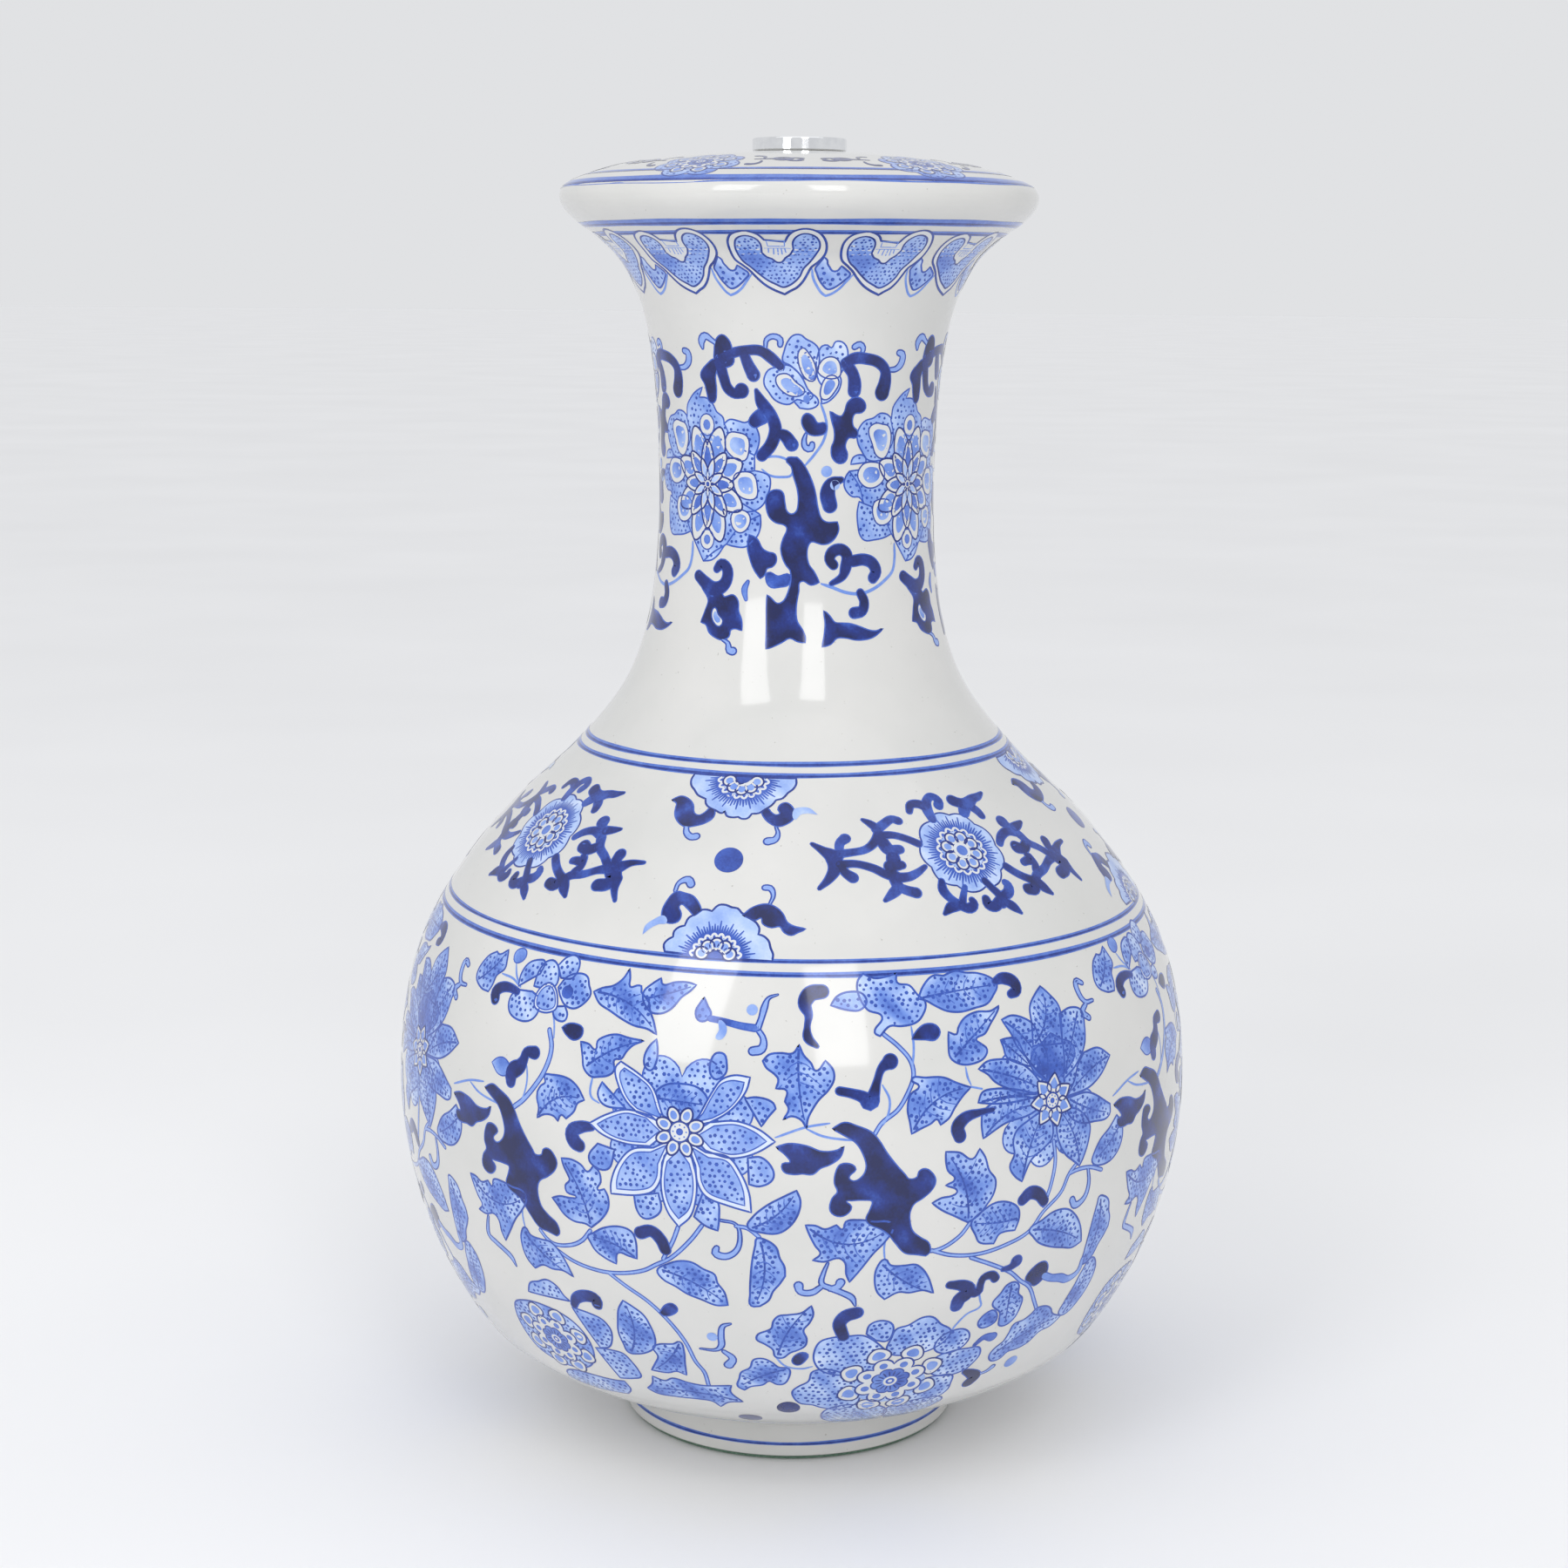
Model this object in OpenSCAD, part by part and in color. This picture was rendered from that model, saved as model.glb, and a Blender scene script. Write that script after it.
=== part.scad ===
// Porcelain vase lamp body: a thrown vase with a closed, domed top, clamped between a chrome
// collar and a steel plate by one hollow threaded rod that runs up the middle.
// Origin: centre of the foot, on the surface that the vase stands on. +Z is up, the cord
// leaves at +Y, and the painted front faces -Y.

/* [Porcelain] */
// Height of the porcelain above its felt ring
body_h = 396; // [360:1:430]
// Largest diameter, at the belly
body_d = 248; // [225:1:270]
// Wall thickness of the porcelain
wall = 6; // [4:0.5:8]
// Inner diameter of the foot ring
recess_d = 88; // [80:1:90]
// Depth of the recess inside the foot ring
recess_h = 13; // [12:0.5:14]
// Thickness of the porcelain floor
floor_h = 7; // [5:0.5:9]
// Diameter of the holes for the rod, in the crown and in the floor
rod_hole_d = 13; // [12:0.5:14]

/* [Rod] */
// Outer diameter of the threaded rod
rod_d = 10; // [9.5:0.1:10.5]
// Bore of the rod, which the flex runs through
rod_bore_d = 7; // [6:0.1:7.5]
// Height of the rod's lower end above the table
rod_foot_z = 2.6; // [2:0.1:3]

/* [Collar] */
// Outer diameter of the chrome collar
collar_d = 28.6; // [26:0.1:34]
// Height of the chrome collar
collar_h = 3.8; // [3.7:0.1:6]
// Thickness of the collar's wall
collar_wall = 1.3; // [1:0.1:1.5]
// Thickness of the collar's floor
collar_floor_h = 1; // [0.8:0.1:1]
// Thickness of the rubber seal under the collar
collar_seal_h = 0.6; // [0.5:0.1:1]
// Distance across the flats of the upper nut
top_nut_af = 14; // [13:0.5:15]
// Thickness of the upper nut
top_nut_h = 2; // [1.8:0.1:2]

/* [Base hardware] */
// Diameter of the steel plate under the floor
plate_d = 52; // [44:1:60]
// Thickness of the steel plate
plate_h = 1.6; // [1.2:0.1:2]
// Thickness of the rubber seal above the plate
base_seal_h = 2; // [1.5:0.1:2.5]
// Distance across the flats of the lower nut
base_nut_af = 17; // [16:0.5:19]
// Thickness of the lower nut
base_nut_h = 4; // [3.5:0.1:4.5]

/* [Foot and cord outlet] */
// Thickness of the felt ring that the vase stands on
felt_h = 1.2; // [1:0.1:2]
// Width of the felt ring
felt_w = 6; // [5:0.5:7]
// Bore of the grommet that the cord leaves through
grommet_bore_d = 6; // [5:0.1:6]

/* [Hidden] */

$fn = 96;
clearance = 0.05;
radius_scale = body_d / 248;
height_scale = body_h / 396;

// Foot ring: outer radius, height and the small bevel at its lower edge
foot_r = 53 * radius_scale;
foot_h = 10.3;
foot_bevel = 0.8;

// Outer wall from the top of the foot ring to the crown, as [radius, height above the felt]
outer_stations = [
    [53, 10.3], [55.6, 12.5], [62, 15.2], [72, 19], [83, 23.8], [93, 30], [101.5, 38],
    [112.5, 57.5], [119.6, 77.5], [123.3, 97], [124, 115], [122, 136], [116.3, 155.8],
    [105.3, 175.4], [89.5, 195], [69, 214.6], [53.4, 234.2], [46, 253.8], [43.1, 273.5],
    [42.3, 293], [42.7, 312.7], [44.2, 332.3], [46.9, 347], [50.3, 356.8], [55, 364.7],
    [61.2, 370.6], [68, 375.5], [71.6, 379.4], [72.6, 383], [70.9, 386], [65.5, 388.6],
    [56, 391.6], [44, 393.8], [31, 395.2], [20, 395.8]
];
// Inner wall from the floor to the underside of the crown, for a wall of 6 mm
inner_stations = [
    [52, 20], [67, 24], [80.5, 29.5], [90, 35.6], [97.2, 42.6], [107, 60.4], [113.8, 79],
    [117.3, 97.6], [118, 115], [116.1, 135], [110.8, 153.4], [100.3, 172], [85.1, 190.9],
    [64.6, 210.6], [48.2, 231.2], [40.2, 252.3], [37.1, 273], [36.3, 293], [36.7, 313],
    [38.3, 333], [41.2, 348.8], [45, 359.8], [50.8, 369.1], [57.8, 375], [62.6, 379.6],
    [63.6, 383], [61, 385.2], [54, 387], [42, 388.6], [28, 389.6], [16, 389.8]
];
curve_steps = 4;
crown_z = felt_h + outer_stations[len(outer_stations) - 1][1] * height_scale;

// Stack of pieces on the crown, from the seal up
collar_seal_z = crown_z;
collar_z = collar_seal_z + collar_seal_h;
top_washer_z = collar_z + collar_floor_h;
top_washer_h = 0.5;
top_nut_z = top_washer_z + top_washer_h;
rod_top_z = top_nut_z + top_nut_h + 0.2;
rod_r = rod_d / 2;
rod_bore_r = rod_bore_d / 2;

// Stack of pieces under the floor, from the seal down
recess_r = recess_d / 2;
recess_top_z = felt_h + recess_h;
base_seal_z = recess_top_z - base_seal_h;
plate_z = base_seal_z - plate_h;
base_washer_h = 1;
base_washer_z = plate_z - base_washer_h;
base_nut_z = base_washer_z - base_nut_h;

// Cord outlet at the back of the foot ring
grommet_z = felt_h + 5.2;
grommet_bore_r = grommet_bore_d / 2;
grommet_body_r = grommet_bore_r + 1;
grommet_flange_r = grommet_body_r + 0.9;
grommet_flange_h = 1;

// Point at share t of the way from b to c on the smooth curve through a, b, c and d
function curve_point(a, b, c, d, t) =
    0.5 * (2 * b + (c - a) * t + (2 * a - 5 * b + 4 * c - d) * t * t
           + (3 * b - a - 3 * c + d) * t * t * t);

// Smooth curve through every station
function curve(stations) = [
    for (i = [0:len(stations) - 2])
        let (
            a = stations[max(i - 1, 0)],
            b = stations[i],
            c = stations[i + 1],
            d = stations[min(i + 2, len(stations) - 1)]
        )
        for (k = [0:curve_steps - 1]) curve_point(a, b, c, d, k / curve_steps),
    stations[len(stations) - 1]
];

// Stations at the chosen size, as [radius, height above the table]
function placed(stations) = [
    for (s = stations) [s[0] * radius_scale, felt_h + s[1] * height_scale]
];

// Inner stations moved in or out where the wall isn't 6 mm thick
function inner_placed() = [
    for (s = placed(inner_stations)) [s[0] - (wall - 6), s[1]]
];

// Flat ring from height z, with a square section
module ring(outer_r, inner_r, z, h) {
    translate([0, 0, z])
        difference() {
            cylinder(r = outer_r, h = h);
            translate([0, 0, -1])
                cylinder(r = inner_r, h = h + 2);
        }
}

// Hexagonal nut with bevelled corners and a plain bore
module nut(across_flats, h, z) {
    corner_r = across_flats / 2 / cos(30);
    bevel = corner_r - across_flats / 2;
    translate([0, 0, z])
        difference() {
            intersection() {
                cylinder(r = corner_r, h = h, $fn = 6);
                rotate_extrude()
                    polygon([
                        [0, 0], [corner_r - bevel, 0], [corner_r, bevel * 0.5],
                        [corner_r, h - bevel * 0.5], [corner_r - bevel, h], [0, h]
                    ]);
            }
            translate([0, 0, -1])
                cylinder(r = rod_r + clearance, h = h + 2);
        }
}

// Split spring washer: a ring with a narrow slanted cut
module lock_washer(outer_r, z, h) {
    gap_w = 0.8;
    difference() {
        ring(outer_r, rod_r + clearance, z, h);
        translate([0, -gap_w / 2, z - 1])
            cube([outer_r + 1, gap_w, h + 2]);
    }
}

// Turned section of the porcelain, right of the axis
module body_section() {
    outer = curve(placed(outer_stations));
    inner = curve(inner_placed());
    hole_r = rod_hole_d / 2;
    inner_floor_z = recess_top_z + floor_h;
    inner_crown_z = inner[len(inner) - 1][1];
    polygon(concat(
        [
            [recess_r, felt_h], [foot_r - foot_bevel, felt_h], [foot_r, felt_h + foot_bevel]
        ],
        outer,
        [[hole_r, crown_z], [hole_r, inner_crown_z]],
        [for (i = [len(inner) - 1:-1:0]) inner[i]],
        [[hole_r, inner_floor_z], [hole_r, recess_top_z], [recess_r, recess_top_z]]
    ));
}

module vase_body() {
    color("whitesmoke")
        difference() {
            rotate_extrude($fn = 180)
                body_section();
            translate([0, recess_r - 4, grommet_z])
                rotate([-90, 0, 0])
                    cylinder(r1 = grommet_body_r, r2 = grommet_body_r + 0.4, h = foot_r - recess_r + 8);
        }
}

module top_collar() {
    collar_r = collar_d / 2;
    edge_r = 0.6;
    color("silver")
        translate([0, 0, collar_z])
            rotate_extrude()
                polygon(concat(
                    [[rod_r + clearance, 0], [collar_r - 0.3, 0], [collar_r, 0.3]],
                    [
                        for (a = [0:22.5:90])
                            [collar_r - edge_r + edge_r * cos(a), collar_h - edge_r + edge_r * sin(a)]
                    ],
                    [
                        [collar_r - collar_wall, collar_h],
                        [collar_r - collar_wall, collar_floor_h],
                        [rod_r + clearance, collar_floor_h]
                    ]
                ));
}

module collar_seal() {
    color("dimgray")
        ring(collar_d / 2 - 1, rod_r + clearance, collar_seal_z, collar_seal_h);
}

module top_lock_washer() {
    color("gray")
        lock_washer(top_nut_af / 2, top_washer_z, top_washer_h);
}

module top_nut() {
    color("goldenrod")
        nut(top_nut_af, top_nut_h, top_nut_z);
}

module lamp_rod() {
    color("darkkhaki")
        ring(rod_r, rod_bore_r, rod_foot_z, rod_top_z - rod_foot_z);
}

module base_seal() {
    color("dimgray")
        ring(plate_d / 2 - 2, rod_r + clearance, base_seal_z, base_seal_h);
}

module base_plate() {
    color("darkgray")
        ring(plate_d / 2, rod_r + clearance, plate_z, plate_h);
}

module base_lock_washer() {
    color("gray")
        lock_washer(base_nut_af / 2, base_washer_z, base_washer_h);
}

module base_nut() {
    color("goldenrod")
        nut(base_nut_af, base_nut_h, base_nut_z);
}

module cord_grommet() {
    color("ivory")
        translate([0, recess_r, grommet_z])
            rotate([-90, 0, 0])
                difference() {
                    union() {
                        translate([0, 0, -grommet_flange_h])
                            cylinder(r = grommet_flange_r, h = grommet_flange_h);
                        cylinder(r = grommet_body_r - clearance, h = foot_r - recess_r);
                        translate([0, 0, foot_r - recess_r])
                            cylinder(r = grommet_flange_r, h = grommet_flange_h);
                    }
                    translate([0, 0, -grommet_flange_h - 1])
                        cylinder(r = grommet_bore_r, h = foot_r - recess_r + 2 * grommet_flange_h + 2);
                }
}

module foot_felt() {
    felt_r = (foot_r + recess_r) / 2;
    color("darkgreen")
        ring(felt_r + felt_w / 2, felt_r - felt_w / 2, 0, felt_h);
}

vase_body();
top_collar();
collar_seal();
top_lock_washer();
top_nut();
lamp_rod();
base_seal();
base_plate();
base_lock_washer();
base_nut();
cord_grommet();
foot_felt();
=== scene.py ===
"""Blue and white porcelain vase, closed at the top and fitted as a lamp body."""
import math
import random

import bmesh
import bpy
import numpy as np
from mathutils import Matrix, Vector
from mathutils.geometry import delaunay_2d_cdt


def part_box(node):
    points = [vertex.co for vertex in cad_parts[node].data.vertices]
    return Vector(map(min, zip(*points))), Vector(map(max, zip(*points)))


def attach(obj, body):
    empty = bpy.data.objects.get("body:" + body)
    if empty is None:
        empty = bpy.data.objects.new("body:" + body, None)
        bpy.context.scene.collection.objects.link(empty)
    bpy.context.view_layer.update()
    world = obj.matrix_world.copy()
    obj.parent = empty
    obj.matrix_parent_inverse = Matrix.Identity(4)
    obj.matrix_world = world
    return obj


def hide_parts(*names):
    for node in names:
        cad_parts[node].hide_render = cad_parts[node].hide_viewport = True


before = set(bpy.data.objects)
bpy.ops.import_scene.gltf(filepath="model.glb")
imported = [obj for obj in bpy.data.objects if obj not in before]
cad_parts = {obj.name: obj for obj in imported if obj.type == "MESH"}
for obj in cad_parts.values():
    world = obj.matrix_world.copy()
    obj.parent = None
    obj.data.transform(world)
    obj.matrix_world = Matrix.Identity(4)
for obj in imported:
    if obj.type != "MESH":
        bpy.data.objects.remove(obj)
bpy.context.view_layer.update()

MM = 0.001
TURN = 2 * math.pi

# ---------------------------------------------------------------- turned shape of the vase
BASE_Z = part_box("vase_body")[0].z / MM
CROWN_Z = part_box("vase_body")[1].z / MM
FOOT_R = 53
FOOT_ROUND = 0.8
# outer wall as (radius, height above the felt), in mm
OUTER = [(53, 10.3), (55.6, 12.5), (62, 15.2), (72, 19), (83, 23.8), (93, 30), (101.5, 38),
         (112.5, 57.5), (119.6, 77.5), (123.3, 97), (124, 115), (122, 136), (116.3, 155.8),
         (105.3, 175.4), (89.5, 195), (69, 214.6), (53.4, 234.2), (46, 253.8), (43.1, 273.5),
         (42.3, 293), (42.7, 312.7), (44.2, 332.3), (46.9, 347), (50.3, 356.8), (55, 364.7),
         (61.2, 370.6), (68, 375.5), (71.6, 379.4), (72.6, 383), (70.9, 386), (65.5, 388.6),
         (56, 391.6), (44, 393.8), (31, 395.2), (20, 395.8)]
# inner wall from the floor up to the crown
INNER = [(52, 20), (67, 24), (80.5, 29.5), (90, 35.6), (97.2, 42.6), (107, 60.4), (113.8, 79),
         (117.3, 97.6), (118, 115), (116.1, 135), (110.8, 153.4), (100.3, 172), (85.1, 190.9),
         (64.6, 210.6), (48.2, 231.2), (40.2, 252.3), (37.1, 273), (36.3, 293), (36.7, 313),
         (38.3, 333), (41.2, 348.8), (45, 359.8), (50.8, 369.1), (57.8, 375), (62.6, 379.6),
         (63.6, 383), (61, 385.2), (54, 387), (42, 388.6), (28, 389.6), (16, 389.8)]


def smooth_stations(stations, steps):
    """Points on the smooth curve through the stations."""
    p = np.array(stations, float)
    out = []
    for i in range(len(p) - 1):
        a, b, c, d = p[max(i - 1, 0)], p[i], p[i + 1], p[min(i + 2, len(p) - 1)]
        for k in range(steps):
            t = k / steps
            out.append(0.5 * (2 * b + (c - a) * t + (2 * a - 5 * b + 4 * c - d) * t * t
                              + (3 * b - a - 3 * c + d) * t ** 3))
    out.append(p[-1])
    return np.array(out)


def foot_edge():
    """The foot ring's rounded lower edge and its upright side."""
    edge = [(FOOT_R - FOOT_ROUND + FOOT_ROUND * math.sin(t), FOOT_ROUND - FOOT_ROUND * math.cos(t))
            for t in np.linspace(0, math.pi / 2, 5)]
    return edge + [(FOOT_R, z) for z in (2, 3.2, 4.4, 5.6, 6.8, 8, 9.2)]


# outer wall from the foot up: points, length along it at each, and outward normals
WALL = np.vstack([foot_edge(), smooth_stations(OUTER, 6)]) + [0, BASE_Z]
WALL_S = np.concatenate([[0], np.cumsum(np.hypot(*np.diff(WALL, axis=0).T))])
_slope = np.gradient(WALL, WALL_S, axis=0)
WALL_N = np.stack([_slope[:, 1], -_slope[:, 0]], 1)
WALL_N /= np.linalg.norm(WALL_N, axis=1)[:, None]


def along(z):
    """Length along the wall from the foot to height z."""
    return np.interp(z, WALL[:, 1], WALL_S)


def radius_at(s):
    """Radius of the wall at length s, in mm."""
    return np.interp(s, WALL_S, WALL[:, 0])


def on_wall(angle, s, lift):
    """Points and normals on the wall: angle in radians right of the front, length s, lift in mm."""
    r, z = np.interp(s, WALL_S, WALL[:, 0]), np.interp(s, WALL_S, WALL[:, 1])
    nr, nz = np.interp(s, WALL_S, WALL_N[:, 0]), np.interp(s, WALL_S, WALL_N[:, 1])
    length = np.hypot(nr, nz)
    nr, nz = nr / length, nz / length
    normal = np.stack([nr * np.sin(angle), -nr * np.cos(angle), nz], 1)
    place = np.stack([r * np.sin(angle), -r * np.cos(angle), z], 1)
    return (place + normal * np.asarray(lift)[:, None]) * MM, normal


# ---------------------------------------------------------------- meshes and objects
def new_object(name, verts, faces, normals=None, tones=None):
    """A smooth mesh that belongs to the vase; tones colour the painted sheets."""
    mesh = bpy.data.meshes.new(name)
    mesh.from_pydata(np.asarray(verts).tolist(), [], faces)
    mesh.polygons.foreach_set("use_smooth", [True] * len(mesh.polygons))
    if tones is not None:
        layer = mesh.attributes.new("tone", "FLOAT", "POINT")
        layer.data.foreach_set("value", np.asarray(tones, np.float32))
    mesh.update()
    if normals is not None:
        mesh.normals_split_custom_set_from_vertices(np.asarray(normals).tolist())
    obj = bpy.data.objects.new(name, mesh)
    bpy.context.scene.collection.objects.link(obj)
    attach(obj, "root")
    return obj


def lathe(name, section, segments):
    """A turned solid: section is a closed loop of (radius, z) in mm."""
    section = np.array(section, float)
    angle = np.arange(segments) * TURN / segments
    n = len(section)
    verts = [(r * math.sin(a) * MM, -r * math.cos(a) * MM, z * MM)
             for r, z in section for a in angle]
    faces = []
    for i in range(n):
        j = (i + 1) % n
        for k in range(segments):
            m = (k + 1) % segments
            faces.append((i * segments + k, i * segments + m, j * segments + m, j * segments + k))
    return new_object(name, verts, faces)


# ---------------------------------------------------------------- brush work
# A sheet's level says what lies on what: FIRST_LIFT is the clearance of level 0 above the glaze and
# LIFT_STEP is what each level adds, in mm. A tone runs from 0, bare white, to 1, the darkest navy.
FIRST_LIFT = 0.03
LIFT_STEP = 0.012
BARE = 0.02
STEP = 0.9
FINE_STEP = 0.8
FILL_PITCH = 1.8
ROW_SPACING = 0.87
MIX_SCALE = 3.4
FLAT_SPOT = 1.6
LANE = 1.7


class Plane:
    """Painted shapes of one band, drawn flat: x round the vase at a nominal radius, y up the wall."""

    def __init__(self, name, radius):
        self.name, self.radius = name, radius
        self.sheets = {}
        self.shift = 0.0
        self.dice = random.Random(7)

    def at(self, a, z):
        """Where a degrees right of the front and z mm high lie in the plane."""
        return np.array([math.radians(a + self.shift) * self.radius, float(along(z))])

    def stretch(self, y):
        """How much wider the wall is here than the nominal radius."""
        return np.maximum(radius_at(y), 8) / self.radius

    def add(self, pigment, points, faces, level, tones):
        """Puts a shape into the sheet of its pigment."""
        empty = {"points": [], "levels": [], "tones": [], "faces": [], "count": 0}
        sheet = self.sheets.setdefault(pigment, empty)
        points = np.asarray(points, float)
        sheet["points"].append(points)
        sheet["levels"].append(np.full(len(points), float(level)))
        sheet["tones"].append(np.broadcast_to(np.asarray(tones, float), (len(points),)))
        base = sheet["count"]
        sheet["faces"] += [tuple(i + base for i in f) for f in faces]
        sheet["count"] += len(points)


def read(text, count=2):
    """'angle height angle height! ...' as rows of numbers and a list of corner marks."""
    words = text.replace(",", " ").split()
    rows = [[float(v.rstrip("!")) for v in words[i:i + count]] for i in range(0, len(words), count)]
    return rows, [words[i + 1].endswith("!") for i in range(0, len(words), count)]


def curve_through(points, corners, closed, step=STEP):
    """Round curve through points that bends sharply only at marked corners."""
    p = np.asarray(points, float)
    n = len(p)
    out = []
    count = n if closed else n - 1
    seg = [p[(i + 1) % n] - p[i] for i in range(count)]
    length = [max(np.hypot(v[0], v[1]), 1e-6) for v in seg]
    unit = [v / w for v, w in zip(seg, length)]

    def heading(i, leaving):
        before = unit[(i - 1) % count] if closed or i > 0 else unit[0]
        after = unit[i % count] if closed or i < count else unit[-1]
        if corners[i % n]:
            return after if leaving else before
        mean = before + after
        size = np.hypot(mean[0], mean[1])
        return mean / size if size > 0.3 else (after if leaving else before)

    for i in range(count):
        a, b = p[i], p[(i + 1) % n]
        start_pull = heading(i, True) * length[i]
        end_pull = heading((i + 1) % n if closed else i + 1, False) * length[i]
        parts = max(2, int(math.ceil(length[i] / step)))
        for k in range(parts):
            t = k / parts
            out.append((2 * t ** 3 - 3 * t * t + 1) * a + (t ** 3 - 2 * t * t + t) * start_pull
                       + (3 * t * t - 2 * t ** 3) * b + (t ** 3 - t * t) * end_pull)
    if not closed:
        out.append(p[-1])
    return np.array(out)


def loop(plane, text):
    """The closed curve through the points in the text."""
    rows, corners = read(text)
    return curve_through([plane.at(*r) for r in rows], corners, True)


def inside(poly, pts):
    """Which of the points lie inside the outline."""
    x, y = pts[:, 0], pts[:, 1]
    hit = np.zeros(len(pts), bool)
    q = np.roll(poly, -1, axis=0)
    for (x1, y1), (x2, y2) in zip(poly, q):
        if y1 != y2:
            hit ^= ((y1 > y) != (y2 > y)) & (x < (x2 - x1) * (y - y1) / (y2 - y1) + x1)
    return hit


def grid_in(poly, pitch, jitter=0.0, dice=None, squash=1.0):
    """Points inside the outline, in staggered rows."""
    low, high = poly.min(0), poly.max(0)
    pts = []
    rows = int((high[1] - low[1]) / (pitch * ROW_SPACING)) + 2
    cols = int((high[0] - low[0]) / (pitch * squash)) + 2
    for j in range(rows):
        for i in range(cols):
            x = low[0] + (i + 0.5 * (j % 2)) * pitch * squash
            y = low[1] + j * pitch * ROW_SPACING
            if jitter:
                x += dice.uniform(-jitter, jitter) * pitch * squash
                y += dice.uniform(-jitter, jitter) * pitch
            pts.append((x, y))
    pts = np.array(pts)
    return pts[inside(poly, pts)]


def away_from(poly, pts, gap):
    """The points at least gap from the outline."""
    if not len(pts):
        return pts
    p = np.vstack([poly, (poly + np.roll(poly, -1, 0)) / 2])
    d = np.min(np.hypot(pts[:, None, 0] - p[None, :, 0], pts[:, None, 1] - p[None, :, 1]), axis=1)
    return pts[d > gap]


def soft_noise(x, y, seed):
    """Smooth wandering value from -1 to 1."""
    u, v = x / MIX_SCALE + seed, y / MIX_SCALE - seed * 0.7
    return (np.sin(u * 1.3 + 1.7 * np.sin(v * 0.9 + 0.4))
            + np.sin(v * 1.7 + 1.3 * np.sin(u * 1.1 + 2.1))
            + 0.6 * np.sin(u * 2.9 + v * 2.3)) / 2.6


def fill(plane, pigment, poly, level, tone, spots=(), uneven=0.12):
    """A painted area. spots are (x, y, size, change of tone) in the plane."""
    extra = away_from(poly, grid_in(poly, FILL_PITCH), FILL_PITCH * 0.45)
    verts = [Vector(v) for v in poly] + [Vector(v) for v in extra]
    got = delaunay_2d_cdt(verts, [], [list(range(len(poly)))], 1, 1e-5)
    pts = np.array([tuple(v) for v in got[0]])
    if not len(pts):
        return
    t = tone + uneven * soft_noise(pts[:, 0], pts[:, 1], level)
    for x, y, size, change in spots:
        t = t + change * np.exp(-((pts[:, 0] - x) ** 2 + (pts[:, 1] - y) ** 2) / size ** 2)
    plane.add(pigment, pts, [tuple(f) for f in got[2]], level, np.clip(t, 0, 1))


def stroke(plane, pigment, path, widths, level, tone, closed=False, caps=True):
    """A brush stroke along a path, as a strip with round ends."""
    p = np.asarray(path, float)
    w = np.broadcast_to(np.asarray(widths, float), (len(p),))
    k = plane.stretch(p[:, 1])
    if closed:
        d = np.roll(p, -1, 0) - np.roll(p, 1, 0)
    else:
        d = np.gradient(p, axis=0)
    dx, dy = d[:, 0] * k, d[:, 1]
    size = np.maximum(np.hypot(dx, dy), 1e-9)
    nx, ny = -dy / size, dx / size
    lanes = max(1, int(math.ceil(w.max() / LANE)))
    side = np.linspace(-0.5, 0.5, lanes + 1)
    pts = np.stack([p[:, None, 0] + side * (nx * w / k)[:, None],
                    p[:, None, 1] + side * (ny * w)[:, None]], 2).reshape(-1, 2)
    n, m = len(p), lanes + 1
    faces = []
    for i in range(n if closed else n - 1):
        j = (i + 1) % n
        for a in range(lanes):
            faces.append((i * m + a, j * m + a, j * m + a + 1, i * m + a + 1))
    t = np.clip(np.broadcast_to(np.asarray(tone, float), (n,)), 0, 1).repeat(m)
    plane.add(pigment, pts, faces, level, t)
    if caps and not closed:
        for end in (0, n - 1):
            if w[end] > 0.35:
                disc(plane, pigment, p[end], w[end] / 2, level, t[end * m])


def oval(plane, centre, rx, ry, turn, sides, point=0.0):
    """Outline of an oval that is true on the wall, in mm; point narrows one end of it."""
    k = float(plane.stretch(centre[1]))
    t = np.arange(sides) * TURN / sides
    x, y = rx * np.cos(t), ry * np.sin(t) * (1 - point * np.cos(t))
    c, s = math.cos(turn), math.sin(turn)
    return np.stack([centre[0] + (x * c - y * s) / k, centre[1] + x * s + y * c], 1)


def around(plane, centre, angle, rx, ry=None):
    """The point rx mm from a centre at an angle, or on the oval rx by ry round it."""
    k = float(plane.stretch(centre[1]))
    ry = rx if ry is None else ry
    return centre + [math.cos(angle) * rx / k, math.sin(angle) * ry]


def disc(plane, pigment, centre, r, level, tone, sides=None, ry=None):
    """A filled round or oval spot. r and ry are in mm."""
    sides = sides or max(6, min(40, int(r * 9)))
    ry = r if ry is None else ry
    rim = oval(plane, centre, r, ry, 0.0, sides)
    if max(r, ry) > FLAT_SPOT:
        fill(plane, pigment, rim, level, tone, uneven=0.05)
    else:
        plane.add(pigment, rim, [tuple(range(sides))], level, tone)


def brush(plane, pigment, text, level, tone, more=0.0, uneven=0.0):
    """A stroke from 'angle height width, ...'; more is added to the widths."""
    rows, corners = read(text, 3)
    flat = [np.append(plane.at(r[0], r[1]), r[2]) for r in rows]
    path = curve_through(flat, corners, False, FINE_STEP)
    tones = tone + uneven * soft_noise(path[:, 0], path[:, 1], level)
    stroke(plane, pigment, path[:, :2], np.maximum(path[:, 2] + more, 0.2), level, tones)


def line(plane, text, level, width):
    """A thin ink line that tapers at both ends."""
    rows, corners = read(text)
    path = curve_through([plane.at(*r) for r in rows], corners, False, FINE_STEP)
    w = np.full(len(path), width)
    if len(w) > 6:
        w[:3] *= [0.55, 0.75, 0.9]
        w[-3:] *= [0.9, 0.75, 0.55]
    stroke(plane, "line", path, w, level, 0.5)


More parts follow.
